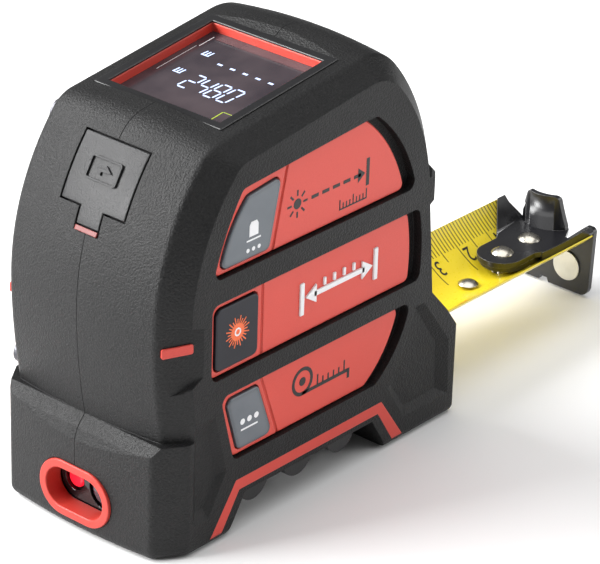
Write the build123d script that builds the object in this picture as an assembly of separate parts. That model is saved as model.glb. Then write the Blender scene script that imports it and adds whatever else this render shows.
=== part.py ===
"""Pocket tape measure with a laser range finder, modelled in millimetres.

+X is the way the blade runs out, -Y is the side with the three buttons, +Z is up.
The two case halves meet at Y = 0. The pieces are drawn about the middle of the case, and
are written out about the middle of the rear foot's underside, which is the part's origin.
"""
from build123d import *
from math import atan2, cos, degrees, radians, sin, sqrt, tan
import os

os.makedirs("parts", exist_ok=True)

# case, outer sizes
case_length = 86.0
case_half_width = 22.3
crown_half_width = 18.3
crown_inset = 1.2
crown_edge_radius = 1.6
rear_bevel_inset = 6.5
top_bevel_inset = 4.8
front_bevel_inset = 5.4
rear_arc_radius = 48.1
rear_arc_height = 46.0
top_height = 83.6
top_slope = 7.4
front_arc_radius = 44.1
front_arc_height = 50.9
front_arc_setback = 50.7
front_tangent_angle = 6.0
rear_crown_fillet = 8.0
front_crown_fillet = 13.0
seam_gap = 0.1
wall = 2.4
side_wall = 2.8
join_overlap = 0.3
cut_margin = 1.0

# foot of the case
shelf_height = 20.8
shelf_depth = 2.7
shelf_rise = 3.2
shelf_edge_cut = 1.3
rear_tuck = 2.7
rear_tuck_height = 21.0
foot_top = 30.5
foot_nose_height = 18.4
foot_corner_length = 7.0
foot_corner_radius = 1.8
foot_edge_radius = 2.2
foot_facet_depth = 0.9
foot_nose_bevel = 1.3
foot_nose_top = 24.6
floor_thickness = 1.9
arch_rear = -25.5
arch_front = 21.5
arch_height = 8.0
arch_slope = 5.1
grip_half_width = 19.5
grip_height = 6.2
channel_floor = 7.7
rib_pitch = 12.6
rib_count = 3
rib_radius = 4.2
rib_drop = 2.6

# side panels and buttons
panel_recess = 0.8
panel_thickness = 1.2
panel_gap = 0.35
panel_front_gap = 2.2
panel_corner = 1.4
panel_chamfer = 0.3
divider_width = 0.8
divider_depth = 0.35
divider_offset = 1.1
bar_low = 30.2
bar_low_height = 4.6
bar_high = 49.7
bar_high_height = 5.5
bar_swell = 0.4
bar_swell_chamfer = 0.7
button_gap = 0.3
button_proud = 0.5
button_travel = 0.5
button_corner = 1.3
button_edge_radius = 0.35
flange_lip = 0.9
flange_thickness = 0.7
stripe_width = 2.3
stripe_depth = 0.8
stripe_gap = 1.1
stripe_foot = 1.6
accent_length = 6.2
accent_height = 1.9
accent_corner = 0.35
accent_depth = 0.9

# blade, hook and reel
blade_thickness = 0.3
blade_low = 8.4
blade_centre_radius = 10.5
blade_wing_radius = 33.0
blade_centre_angle = 29.5
blade_edge_angle = 47.0
blade_coil_width = 28.0
hook_zero = 101.5
hook_thickness = 1.2
hook_foot = 0.5
hook_corner = 2.2
hook_half_width = 12.4
hook_neck = 5.6
hook_play = 1.2
blade_inner_end = 23.0
claw_length = 21.0
claw_half_width = 5.2
claw_low = 11.55
claw_top = 20.8
claw_corner = 1.2
claw_shoulder = 1.3
plate_gap = 0.1
rivet_radius = 1.2
rivet_head_radius = 2.45
rivet_head_height = 1.15
rivet_clearance = 0.1
rivet_near = 6.2
rivet_spacing = 9.4
stop_rivet_place = 74.5
stop_rivet_radius = 0.85
stop_rivet_head = 2.2
stop_rivet_tail = 0.9
stop_rivet_tail_radius = 1.6
rivet_tail = 1.0
rivet_tail_radius = 1.9
groove_clearance = 0.4
blade_travel_in = 46.0
magnet_radius = 3.4
magnet_thickness = 0.8
magnet_spacing = 12.0
magnet_height = 6.3
reel_x = -1.0
reel_height = 44.0
drum_radius = 14.0
drum_wall = 1.4
coil_radius = 23.4
disc_radius = 24.6
disc_thickness = 0.5
disc_gap = 0.2
hub_radius = 6.0
post_radius = 3.0
running_clearance = 0.05
spring_turns = 9
spring_thickness = 0.4
spring_pitch = 0.85
spring_edge_gap = 3.6
mouth_clearance = 1.1
mouth_top = 17.6
mouth_guide_wall = 1.0
mouth_half_width = 13.4
mouth_corner = 1.5
mouth_guide_depth = 5.9

# laser, display, charging and electronics
laser_height = 8.1
laser_ring_length = 18.0
laser_ring_height = 11.6
laser_ring_wall = 1.7
laser_ring_proud = 0.35
emitter_radius = 1.9
receiver_radius = 3.3
lens_spacing = 7.4
laser_module_front = 3.8
laser_module_depth = 10.6
lens_edge_radius = 0.6
display_rear = -20.9
display_length = 30.2
display_width = 29.6
display_rim = 1.0
display_lip = 0.5
display_sink = 2.3
glass_thickness = 1.0
facet_rise = 22.0
flap_width = 15.7
flap_length = 13.0
flap_tab_width = 5.5
flap_tab_length = 3.4
flap_thickness = 1.2
flap_gap = 0.3
flap_seat_gap = 0.25
flap_notch = 0.9
flap_angle = 149.0
board_thickness = 1.0
drum_side_gap = 0.7
switch_height = 1.4
switch_size = 4.8
plunger_radius = 1.0
plunger_head_radius = 1.6
plunger_gap = 0.15
plunger_seat = 0.6
screw_radius = 1.25
screw_head_radius = 2.5
screw_head_height = 1.6
screw_head_clearance = 0.3
screw_sink = 0.9
screw_reach = 12.0
screw_places = [(-35.2, 27.5), (30.6, 27.0), (-25.2, 73.4), (24.6, 72.4)]
boss_radius = 2.9
socket_wall = 1.5
socket_gap = 1.0
clip_width = 14.0
clip_length = 44.0
clip_thickness = 1.0
clip_stand = 6.6
clip_bend_radius = 1.2
clip_screw_radius = 1.5
clip_screw_head = 2.8
clip_screw_head_height = 1.2
lock_width = 11.0
lock_length = 12.0
lock_travel = 5.0
lock_proud = 2.0
lock_slot_width = 5.0
lock_slot_play = 2.4
lock_drop = 10.5
lock_stand = 0.35
lock_wedge_depth = 4.8
lock_wedge_thickness = 1.4

case_rear = -case_length / 2
origin_x = case_rear + 9.0
case_front = case_length / 2
rear_face = case_rear + 0.7
foot_slope_top = case_front - 10.0
foot_nose = case_front - 4.6
bar_low_top = bar_low + bar_low_height
bar_high_top = bar_high + bar_high_height
panel_face = case_half_width - panel_recess
screw_head_low = case_half_width - screw_head_height - screw_sink
panel_back = panel_face - panel_thickness
inner_half_width = case_half_width - side_wall
button_face = panel_face + button_proud
coil_half_width = blade_coil_width / 2 + disc_gap
drum_half_width = coil_half_width + disc_thickness
board_inner = drum_half_width + drum_side_gap
board_outer = board_inner + board_thickness
switch_top = board_outer + switch_height
plunger_top = switch_top + button_travel + plunger_gap
clip_screw_place = (reel_x, bar_high + bar_high_height / 2)
rear_centre = (rear_face + rear_arc_radius, rear_arc_height)
front_centre = (case_front - front_arc_setback, front_arc_height)


# ---------------------------------------------------------------- helpers
upright = (Align.CENTER, Align.CENTER, Align.MIN)


def outline(*points):
    """A flat face through the points."""
    return make_face(Polyline(*points, close=True))


def side_prism(face, y_low, y_high):
    """Extrudes a side-view face (x, z) between two places across the width."""
    return extrude(Pos(0, y_high, 0) * (Plane.XZ * face), y_high - y_low)


def plan_prism(face, z_low, z_high):
    """Extrudes a plan face (x, y) between two heights."""
    return extrude(Pos(0, 0, z_low) * face, z_high - z_low)


def end_prism(face, x_low, x_high):
    """Extrudes an end-view face (y, z) between two places along the length."""
    return extrude(Pos(x_low, 0, 0) * (Plane.YZ * face), x_high - x_low)


def block(x_low, x_high, y_low, y_high, z_low, z_high):
    size = (x_high - x_low, y_high - y_low, z_high - z_low)
    return Pos(x_low, y_low, z_low) * Box(*size, align=(Align.MIN, Align.MIN, Align.MIN))


def rod(radius, y_low, y_high, x, z):
    """A cylinder across the width."""
    turned = Rot(-90, 0, 0) * Cylinder(radius, y_high - y_low, align=upright)
    return Pos(x, y_low, z) * turned


def spindle(radius, x_low, x_high, y, z):
    """A cylinder along the length."""
    turned = Rot(0, 90, 0) * Cylinder(radius, x_high - x_low, align=upright)
    return Pos(x_low, y, z) * turned


def pin(radius, z_low, z_high, x, y):
    """An upright cylinder."""
    return Pos(x, y, z_low) * Cylinder(radius, z_high - z_low, align=upright)


def on_circle(centre, radius, angle):
    return (centre[0] + radius * cos(radians(angle)), centre[1] + radius * sin(radians(angle)))


def rounded(face, radius):
    return fillet(face.vertices(), radius)


def top_line_height(x, inset=0.0):
    slope = radians(top_slope)
    return top_height + x * tan(slope) - inset / cos(slope)


def top_line_crossing(centre, radius, inset, side):
    """Where the sloping top line meets a circle: side -1 for the rear, 1 for the front."""
    slope = tan(radians(top_slope))
    height = top_line_height(centre[0], inset) - centre[1]
    a = 1 + slope * slope
    b = slope * height
    x = (-b + side * sqrt(b * b - a * (height * height - radius * radius))) / a
    return (centre[0] + x, centre[1] + height + slope * x)


def case_outline(rear, top, front):
    """The case's side view, moved in by its own amount at the rear, the top and the front."""
    floor = 12.0
    rear_radius = rear_arc_radius - rear
    front_radius = front_arc_radius - front
    spring = (rear_centre[0] - rear_radius, rear_centre[1])
    start = (spring[0] + rear_tuck, floor)
    heel = (start[0], rear_tuck_height)
    calf = (spring[0] + rear_tuck / 4, (heel[1] + spring[1]) / 2)
    rear_corner = top_line_crossing(rear_centre, rear_radius, top, -1)
    front_corner = top_line_crossing(front_centre, front_radius, top, 1)
    tangent = on_circle(front_centre, front_radius, front_tangent_angle)
    drop = (tangent[1] - floor) * tan(radians(front_tangent_angle))
    end = (tangent[0] + drop, floor)
    rear_angle = degrees(atan2(rear_corner[1] - rear_centre[1], rear_corner[0] - rear_centre[0]))
    front_angle = degrees(atan2(front_corner[1] - front_centre[1], front_corner[0] - front_centre[0]))
    rear_middle = on_circle(rear_centre, rear_radius, (180 + rear_angle) / 2)
    front_middle = on_circle(front_centre, front_radius, (front_tangent_angle + front_angle) / 2)
    edges = [
        Line(start, heel),
        ThreePointArc(heel, calf, spring),
        ThreePointArc(spring, rear_middle, rear_corner),
        Line(rear_corner, front_corner),
        ThreePointArc(front_corner, front_middle, tangent),
        Line(tangent, end),
        Line(end, start),
    ]
    face = make_face(edges)
    rear_vertex = face.vertices().sort_by_distance((*rear_corner, 0))[0]
    face = fillet(rear_vertex, rear_crown_fillet - 0.5 * rear)
    front_vertex = face.vertices().sort_by_distance((*front_corner, 0))[0]
    return fillet(front_vertex, front_crown_fillet - 0.5 * front)


def case_body(skin, half_width, crown):
    """The upper case: a crowned middle band and a bevelled band on each side, moved in by skin."""
    rear = rear_bevel_inset + skin
    top = top_bevel_inset + skin
    front = front_bevel_inset + skin
    middle = case_outline(skin, skin, skin)
    shoulder = case_outline(crown_inset + skin, crown_inset + skin, crown_inset + skin)
    side = case_outline(rear, top, front)

    def placed(face, y):
        return Pos(0, y, 0) * (Plane.XZ * face)

    body = loft([placed(shoulder, -crown), placed(middle, 0), placed(shoulder, crown)])
    for way in (-1, 1):
        body += loft([placed(shoulder, way * crown), placed(side, way * half_width)], ruled=True)
    return body


def softened_crown(body, crown):
    """Rounds the edges between the crowned band and the bevelled bands, above the foot."""
    edges = []
    for edge in body.edges():
        box = edge.bounding_box()
        on_crown = abs(abs(box.min.Y) - crown) < 0.01 and box.size.Y < 0.01
        if on_crown and box.max.Z > rear_tuck_height + 1:
            edges.append(edge)
    return fillet(edges, crown_edge_radius)


# ---------------------------------------------------------------- panels and buttons, side view
def panel_upper_face():
    left = ThreePointArc((-29.8, bar_high_top), (-26.2, 64.4), (-22.5, 70.6))
    top = Line((-22.5, 70.6), (11.9, 73.2))
    right = ThreePointArc((11.9, 73.2), (19.2, 65.6), (24.1, bar_high_top))
    base = Line((24.1, bar_high_top), (-29.8, bar_high_top))
    return rounded(make_face([left, top, right, base]), panel_corner)


def panel_middle_face():
    right = ThreePointArc((26.4, bar_low_top), (26.7, 42.5), (25.6, bar_high))
    rest = Polyline((25.6, bar_high), (-30.0, bar_high), (-30.0, bar_low_top), (26.4, bar_low_top))
    return rounded(make_face([right, rest]), panel_corner)


def panel_lower_face():
    right = ThreePointArc((14.3, 16.3), (20.6, 22.4), (24.0, bar_low))
    rest = Polyline((24.0, bar_low), (-27.3, bar_low), (-23.6, 16.3), (14.3, 16.3))
    return rounded(make_face([right, rest]), panel_corner)


def button_units_face():
    left = ThreePointArc((-27.9, 56.3), (-25.3, 63.2), (-21.0, 68.8))
    rest = Polyline((-21.0, 68.8), (-11.9, 69.9), (-14.9, 56.3), (-27.9, 56.3))
    return rounded(make_face([left, rest]), button_corner)


def button_measure_face():
    return rounded(outline((-28.9, 36.0), (-17.5, 36.0), (-17.5, 48.6), (-28.9, 48.6)), button_corner)


def button_func_face():
    return rounded(outline((-25.8, 29.0), (-17.0, 29.0), (-12.8, 17.5), (-22.3, 17.5)), button_corner)


panel_faces = {"upper": panel_upper_face(), "middle": panel_middle_face(), "lower": panel_lower_face()}
button_faces = {"units": button_units_face(), "measure": button_measure_face(), "func": button_func_face()}
button_panels = {"units": "upper", "measure": "middle", "func": "lower"}


def panel_pocket(name, side):
    """The pocket that a panel sits in, a little longer at the front than the panel."""
    grown = offset(panel_faces[name], amount=panel_gap)
    shifted = Pos(panel_front_gap, 0) * grown
    pocket = side_prism(grown, -case_half_width - 1, -panel_back)
    pocket += side_prism(shifted, -case_half_width - 1, -panel_back)
    if side > 0:
        return mirror(pocket, about=Plane.XZ)
    return pocket


def divider_groove(name):
    """The groove that parts a button's end of a panel from its label area."""
    low_z, high_z = {"units": (50, 80), "measure": (30, 55), "func": (10, 35)}[name]
    lean = {"units": 3.0 / 13.6, "measure": 0.0, "func": -4.2 / 11.5}[name]
    foot_x, foot_z = {"units": (-14.9, 56.3), "measure": (-17.5, 36.0), "func": (-12.8, 17.5)}[name]
    start_x = foot_x + divider_offset + lean * (low_z - foot_z)
    end_x = start_x + lean * (high_z - low_z)
    face = outline(
        (start_x, low_z), (start_x + divider_width, low_z), (end_x + divider_width, high_z), (end_x, high_z),
    )
    return side_prism(face, -panel_face - cut_margin, -panel_face + divider_depth)


# ---------------------------------------------------------------- case
def base_body():
    """The foot of the case, with the sloping shelf behind and the slanted nose in front."""
    rear = case_rear
    front = case_front
    inside = rear + foot_corner_length + 6
    side = outline(
        (rear, 0), (rear, shelf_height), (rear + shelf_depth, shelf_height + shelf_rise),
        (inside, shelf_height + shelf_rise), (inside, foot_top), (foot_slope_top, foot_top),
        (foot_nose, foot_nose_top), (front, foot_nose_height), (front, 0),
    )
    shelf_edge = side.vertices().sort_by_distance((rear, shelf_height, 0))[0]
    side = chamfer(shelf_edge, shelf_edge_cut)
    half = case_half_width
    shoulder = crown_half_width
    corner = rear + foot_corner_length
    nose_bevel = foot_nose_bevel
    rear_arc = ThreePointArc((rear + crown_inset, shoulder), (rear, 0), (rear + crown_inset, -shoulder))
    rest = Polyline(
        (rear + crown_inset, -shoulder), (corner, -half), (front - nose_bevel, -half),
        (front, -half + nose_bevel), (front, half - nose_bevel), (front - nose_bevel, half), (corner, half),
        (rear + crown_inset, shoulder),
    )
    plan = make_face([rear_arc, rest])
    plan = fillet([corner for corner in plan.vertices() if corner.X < 0], foot_corner_radius)
    return side_prism(side, -half, half) & plan_prism(plan, 0, foot_top)


def belt_ends():
    """The ends of the two bars, which swell over the front corner bevels."""
    ends = []
    for low, high in ((bar_low, bar_low_top), (bar_high, bar_high_top)):
        for way in (-1, 1):
            plan = outline(
                (26, way * 17), (26, way * case_half_width), (32.5, way * case_half_width),
                (35.0, way * 20.3), (36.9, way * 17),
            )
            swell = plan_prism(plan, low, high + bar_swell)
            front_edges = swell.edges().filter_by(Axis.Z, reverse=True).sort_by(Axis.X)[-4:]
            ends.append(chamfer(front_edges, bar_swell_chamfer))
    return ends


def corner_recess(way):
    """The flat cut across the rear corner that holds the accent bar."""
    plan = outline(
        (-42.4, way * 18.1), (-32.3, way * 22.4), (-32.3, way * 24), (-44, way * 24), (-44, way * 18.1),
    )
    side = outline((-44, 33.2), (-36.8, 34.6), (-32.3, 37.0), (-32.3, 46.6), (-36.8, 48.0), (-44, 48.6))
    low, high = sorted((way * 17, way * 24))
    return plan_prism(plan, 30, 52) & side_prism(side, low, high)


def foot_facets(way):
    """The shallow cuts with sloping walls in the side of the foot, one behind and one in front."""
    rear_edge = outline((-34.8, 27.4), (-29.2, 27.4), (-25.8, 14.6), (-30.6, 6.4), (-34.8, 6.4))
    rear_floor = outline((-33.4, 24.5), (-30.4, 24.5), (-27.6, 14.4), (-31.2, 8.6), (-33.4, 8.6))
    front_edge = outline(
        (28.4, 28.8), (31.0, 28.8), (39.4, 17.6), (40.0, 5.2), (26.2, 5.2), (21.0, 13.4), (25.0, 20.4),
    )
    front_floor = outline(
        (28.6, 27.8), (29.4, 27.8), (36.2, 17.9), (36.8, 7.2), (27.0, 7.2), (22.4, 13.8), (26.0, 20.4),
    )
    cuts = []
    for edge, floor in ((rear_edge, rear_floor), (front_edge, front_floor)):
        outer = Pos(0, way * case_half_width, 0) * (Plane.XZ * edge)
        inner = Pos(0, way * (case_half_width - foot_facet_depth), 0) * (Plane.XZ * floor)
        cuts.append(loft([outer, inner], ruled=True))
    return cuts


def case_outside():
    body = softened_crown(case_body(0, case_half_width, crown_half_width), crown_half_width)
    body += base_body()
    bottom = body.edges().group_by(Axis.Z)[0]
    body = fillet(bottom, foot_edge_radius)
    for swell in belt_ends():
        body += swell
    for way in (-1, 1):
        body -= corner_recess(way)
        for facet in foot_facets(way):
            body -= facet
    low = outline(
        (arch_rear, -1), (arch_rear, 0), (arch_rear + arch_slope, arch_height),
        (arch_front - arch_slope, arch_height), (arch_front, 0), (arch_front, -1),
    )
    arch = side_prism(low, -case_half_width - 1, case_half_width + 1)
    grip_side = (-grip_half_width, grip_half_width)
    kept_floor = block(arch_rear - 2, arch_front + 2, *grip_side, grip_height, arch_height + cut_margin)
    return body - (arch - kept_floor)


def case_inside():
    """The hollow of the case."""
    crown = inner_half_width - 2.2
    hollow = case_body(wall, inner_half_width, crown)
    hollow -= block(-60, 60, -30, 30, 0, shelf_height)
    half = inner_half_width
    rear = case_rear + wall + 0.2
    front = case_front - wall
    foot = outline(
        (rear, floor_thickness), (arch_rear - 3, floor_thickness),
        (arch_rear + arch_slope - 3, channel_floor), (front, channel_floor),
        (front, foot_nose_height - 1.6), (foot_nose - wall, foot_nose_top - wall),
        (foot_slope_top - 1.2, foot_top - wall),
        (rear + 4, foot_top - wall), (rear + 1, shelf_height + 1), (rear, shelf_height - 2),
    )
    plan = outline(
        (rear + 0.8, -crown), (rear + 7.6, -half), (front, -half), (front, half), (rear + 7.6, half),
        (rear + 0.8, crown),
    )
    return hollow + (side_prism(foot, -half, half) & plan_prism(plan, 0, foot_top))


def top_plane(x, sink=0.0):
    """A plane on the sloping top, its x along the slope and its z out of the case."""
    slope = radians(top_slope)
    origin = (x, 0, top_line_height(x, sink))
    return Plane(origin=origin, x_dir=(cos(slope), 0, sin(slope)), z_dir=(-sin(slope), 0, cos(slope)))


def display_place():
    return top_plane(display_rear + display_length / 2 * cos(radians(top_slope)), 0.6)


def display_block(margin, low, high):
    """A block on the display's place, grown by margin all round, between two levels out of the case."""
    size = (display_length + 2 * margin, display_width + 2 * margin, high - low)
    return display_place() * (Pos(0, 0, low) * Box(*size, align=(Align.CENTER, Align.CENTER, Align.MIN)))


def display_facet():
    """The shallow sloping cut behind the display."""
    edge = display_place() * Pos(display_length / 2 + display_rim, 0, -0.3)
    start = (edge.position.X, edge.position.Z)
    rise = radians(top_slope + facet_rise)
    end = (start[0] + 12 * cos(rise), start[1] + 12 * sin(rise))
    face = outline((start[0] - 0.4, start[1]), start, end, (start[0] - 0.4, end[1] + 4))
    return side_prism(face, -display_width / 2 - display_rim, display_width / 2 + display_rim)


def flap_plane():
    """The plane of the charging flap: x runs down the flap, y across the case, z out of the case."""
    place = on_circle(rear_centre, rear_arc_radius, flap_angle)
    out = (cos(radians(flap_angle)), 0, sin(radians(flap_angle)))
    down = (-sin(radians(flap_angle)), 0, cos(radians(flap_angle)))
    return Plane(origin=(place[0], 0, place[1]), x_dir=down, z_dir=out)


def flap_face(grow):
    half = flap_length / 2 + grow
    wide = flap_width / 2 + grow
    tab = flap_tab_width / 2 + grow
    reach = half + flap_tab_length
    return outline((-half, -wide), (half, -wide), (half, -tab), (reach, -tab), (reach, tab), (half, tab),
                   (half, wide), (-half, wide))


def flap_prism(grow):
    return extrude(flap_plane() * (Pos(0, 0, -8) * flap_face(grow)), 16)


def flap_pocket():
    """The seat of the flap, with a finger notch under its tab."""
    tab_end = flap_length / 2 + flap_tab_length
    notch_face = Rectangle(flap_notch + 2 * flap_gap, flap_tab_width + 2 * flap_gap)
    notch = Pos(tab_end + flap_notch / 2, 0, -8) * notch_face
    column = flap_prism(flap_gap) + extrude(flap_plane() * notch, 16)
    return column & (case_skin - case_body(flap_thickness + flap_seat_gap, case_half_width, crown_half_width))


def boss(place, y_low, y_high):
    return rod(boss_radius, y_low, y_high, place[0], place[1])


def laser_opening(margin):
    height = laser_ring_height + 2 * margin
    face = SlotOverall(laser_ring_length + 2 * margin, height)
    return Pos(0, laser_height) * face


def mouth_section(grow):
    half_width = mouth_half_width + mouth_clearance + grow
    low = channel_floor - 0.9 - grow
    top = mouth_top + grow
    face = outline((-half_width, low), (half_width, low), (half_width, top), (-half_width, top))
    return rounded(face, mouth_corner)


def rivet_groove():
    """Room in the floor for the tails of the rivets as the blade runs in."""
    half_width = rivet_head_radius + groove_clearance
    low = blade_low - rivet_tail - groove_clearance
    rear = stop_rivet_place - blade_travel_in - half_width - groove_clearance
    return block(rear, case_front + 2, -half_width, half_width, low, blade_low)


def lock_plane():
    """On the front face: x points down the face, y across, z out of the case."""
    tilt = radians(front_tangent_angle)
    place = on_circle(front_centre, front_arc_radius, front_tangent_angle)
    origin = (place[0] + lock_drop * sin(tilt), 0, place[1] - lock_drop * cos(tilt))
    return Plane(origin=origin, x_dir=(sin(tilt), 0, -cos(tilt)), z_dir=(cos(tilt), 0, sin(tilt)))


def lock_slot():
    face = SlotOverall(lock_travel + lock_slot_width + lock_slot_play, lock_slot_width)
    return extrude(lock_plane() * (Pos(lock_travel / 2, 0, -5) * face), 8)


case_skin = case_outside()
case_hollow = case_inside()
flap_skin = case_skin - case_body(flap_thickness, case_half_width, crown_half_width)


def case_half(side):
    """One half of the case: side -1 carries the buttons, side 1 the belt clip."""
    shell = case_skin - case_hollow
    keep = block(-60, 60, *sorted((side * seam_gap / 2, side * 40)), -5, 100)
    shell = shell & keep
    reach = sorted((side * seam_gap / 2, side * (inner_half_width + join_overlap)))
    for place in screw_places:
        shell += boss(place, *reach)
    socket_reach = sorted((side * (drum_half_width + socket_gap), side * (inner_half_width + join_overlap)))
    shell += rod(post_radius + socket_wall, *socket_reach, reel_x, reel_height)
    shell -= rod(post_radius, *sorted((0, side * inner_half_width)), reel_x, reel_height)
    if side > 0:
        shell += rod(clip_screw_radius + socket_wall, *socket_reach, *clip_screw_place)
    shell = shell & case_skin
    for name in panel_faces:
        shell -= panel_pocket(name, side)
    shell -= display_block(display_rim, -6, 6)
    shell -= display_facet()
    shell -= flap_pocket()
    shell -= usb_opening()
    shell -= end_prism(laser_opening(0.05), case_rear - 2, case_rear + 8)
    shell -= end_prism(mouth_section(mouth_guide_wall), case_front - mouth_guide_depth - 0.1, case_front + 2)
    shell -= rivet_groove()
    shell -= lock_slot()
    shell -= stripe_body(side)
    shell -= accent_body(side)
    if side < 0:
        button_reach = (-case_half_width - cut_margin, -inner_half_width + cut_margin)
        for face in button_faces.values():
            shell -= side_prism(offset(face, amount=button_gap), *button_reach)
        for place in screw_places:
            shell -= rod(screw_radius + running_clearance, -screw_reach - 3, cut_margin, *place)
    else:
        for place in screw_places:
            shell -= rod(screw_radius + running_clearance, -cut_margin, case_half_width + cut_margin, *place)
            sink_radius = screw_head_radius + screw_head_clearance
            shell -= rod(sink_radius, screw_head_low, case_half_width + cut_margin, *place)
        shell -= rod(clip_screw_radius + running_clearance, 10, 40, *clip_screw_place)
    return shell


def stripe_body(side):
    """The coloured line over the arch, let into the side of the case."""
    rise = arch_slope / arch_height
    low = arch_height + stripe_gap
    high = low + stripe_width
    foot_z = stripe_foot
    rear_in = arch_rear - 2.4
    rear_out = rear_in - stripe_width * 1.35
    front_in = arch_front + 2.4
    front_out = front_in + stripe_width * 1.35
    face = outline(
        (rear_out + rise * foot_z, foot_z), (rear_out + rise * high + 0.7, high),
        (front_out - rise * high - 0.7, high), (front_out - rise * foot_z, foot_z),
        (front_in - rise * foot_z, foot_z), (front_in - rise * low, low),
        (rear_in + rise * low, low), (rear_in + rise * foot_z, foot_z),
    )
    body = side_prism(face, -case_half_width - 0.05, -case_half_width + stripe_depth)
    body = body & case_skin
    return body if side < 0 else mirror(body, about=Plane.XZ)


def accent_body(side):
    """The accent bar on the cut rear corner."""
    along = Plane(origin=(-37.4, -20.2, 43.2), x_dir=(10.1, -4.3, 0), z_dir=(-4.3, -10.1, 0))
    face = rounded(Rectangle(accent_length, accent_height), accent_corner)
    bar = extrude(along * face, accent_corner) + extrude(along * face, -accent_depth)
    return bar if side < 0 else mirror(bar, about=Plane.XZ)


def usb_opening():
    face = rounded(Rectangle(4.0, 10.0), 1.4)
    return extrude(flap_plane() * (Pos(0, 0, -12) * face), 12)


# ---------------------------------------------------------------- internals and moving pieces
def blade_edges(lift):
    """The blade's section curve, lifted square to itself: two wings on a rounded middle."""
    middle = (0, blade_low + blade_centre_radius)
    small = blade_centre_radius - lift
    large = blade_wing_radius - lift
    gap = blade_wing_radius - blade_centre_radius
    points = []
    for way in (-1, 1):
        shift = (-way * gap * sin(radians(blade_centre_angle)), gap * cos(radians(blade_centre_angle)))
        wing_centre = (middle[0] + shift[0], middle[1] + shift[1])
        for angle in (blade_edge_angle, (blade_edge_angle + blade_centre_angle) / 2, blade_centre_angle):
            points.append(on_circle(wing_centre, large, -90 + way * angle))
    bottom = on_circle(middle, small, -90)
    left = points[:3]
    right = points[3:][::-1]
    arcs = [ThreePointArc(*left), ThreePointArc(left[2], bottom, right[0]), ThreePointArc(*right)]
    return arcs, left[0], right[2]


def blade_section(low, high):
    under, under_left, under_right = blade_edges(low)
    over, over_left, over_right = blade_edges(high)
    return make_face([*under, Line(under_right, over_right), *over, Line(over_left, under_left)])


def build_blade():
    body = end_prism(blade_section(0, blade_thickness), blade_inner_end, hook_zero - hook_play - 0.1)
    for index in range(2):
        x = hook_zero - rivet_near - index * rivet_spacing
        hole = rivet_radius + rivet_clearance
        slot = block(x - hook_play, x, -hole, hole, 0, 20)
        slot += pin(hole, 0, 20, x, 0) + pin(hole, 0, 20, x - hook_play, 0)
        body -= slot
    return body - pin(stop_rivet_radius + running_clearance, 0, 20, stop_rivet_place, 0)


def dome(radius, height, z, x, y):
    """A flat-bottomed rivet head."""
    sphere_radius = (radius * radius + height * height) / (2 * height)
    ball = Pos(x, y, z + height - sphere_radius) * Sphere(sphere_radius)
    return ball & pin(radius, z, z + height + 1, x, y)


def build_stop_rivet():
    low = blade_low
    shank = pin(stop_rivet_radius, low - 0.5, low + 1.6, stop_rivet_place, 0)
    head = dome(stop_rivet_head, 0.9, low + 1.0, stop_rivet_place, 0)
    tail = pin(stop_rivet_tail_radius, low - stop_rivet_tail, low - plate_gap, stop_rivet_place, 0)
    return shank + head + tail


def hook_flange_face(half_width, rear, front):
    straight = rear + half_width
    edge = ThreePointArc((straight, half_width), (rear, 0), (straight, -half_width))
    return make_face([edge, Polyline((straight, -half_width), (front, -half_width), (front, half_width),
                                     (straight, half_width))])


def build_hook():
    """Flange on the blade and the down-turned tongue, one bent plate."""
    flange_low = claw_low - plate_gap - hook_thickness
    flange_rear = hook_zero - claw_length + 0.8
    flange_face = hook_flange_face(claw_half_width - plate_gap, flange_rear, hook_zero + hook_thickness)
    flange = plan_prism(flange_face, flange_low, flange_low + hook_thickness)
    tongue = outline(
        (-11.9, hook_foot), (-1.3, hook_foot), (-0.9, hook_foot + 1.0), (0.9, hook_foot + 1.0),
        (1.3, hook_foot), (11.9, hook_foot), (hook_half_width, 15.8), (hook_neck, 12.2),
        (hook_neck, flange_low),
        (-hook_neck, flange_low), (-hook_neck, 12.6), (-10.2, 16.9), (-hook_half_width, 16.9),
    )
    corners = tongue.vertices()
    tongue = fillet([corner for corner in corners if corner.Y < 1 and abs(corner.X) > 5], hook_corner)
    tops = [corner for corner in tongue.vertices() if corner.Y > 15]
    tongue = fillet(tops, 1.0)
    body = flange + end_prism(tongue, hook_zero, hook_zero + hook_thickness)
    fold_top = flange_low + hook_thickness
    fold_reach = (hook_zero, hook_zero + hook_thickness)
    body += block(*fold_reach, -hook_neck, hook_neck, flange_low - cut_margin, fold_top)
    for index in range(2):
        body -= pin(rivet_radius, 0, 20, hook_zero - rivet_near - index * rivet_spacing, 0)
    for way in (-1, 1):
        place = (way * magnet_spacing / 2, magnet_height)
        body -= spindle(magnet_radius + 0.02, hook_zero - 1, hook_zero + magnet_thickness / 2, *place)
    return body


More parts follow.
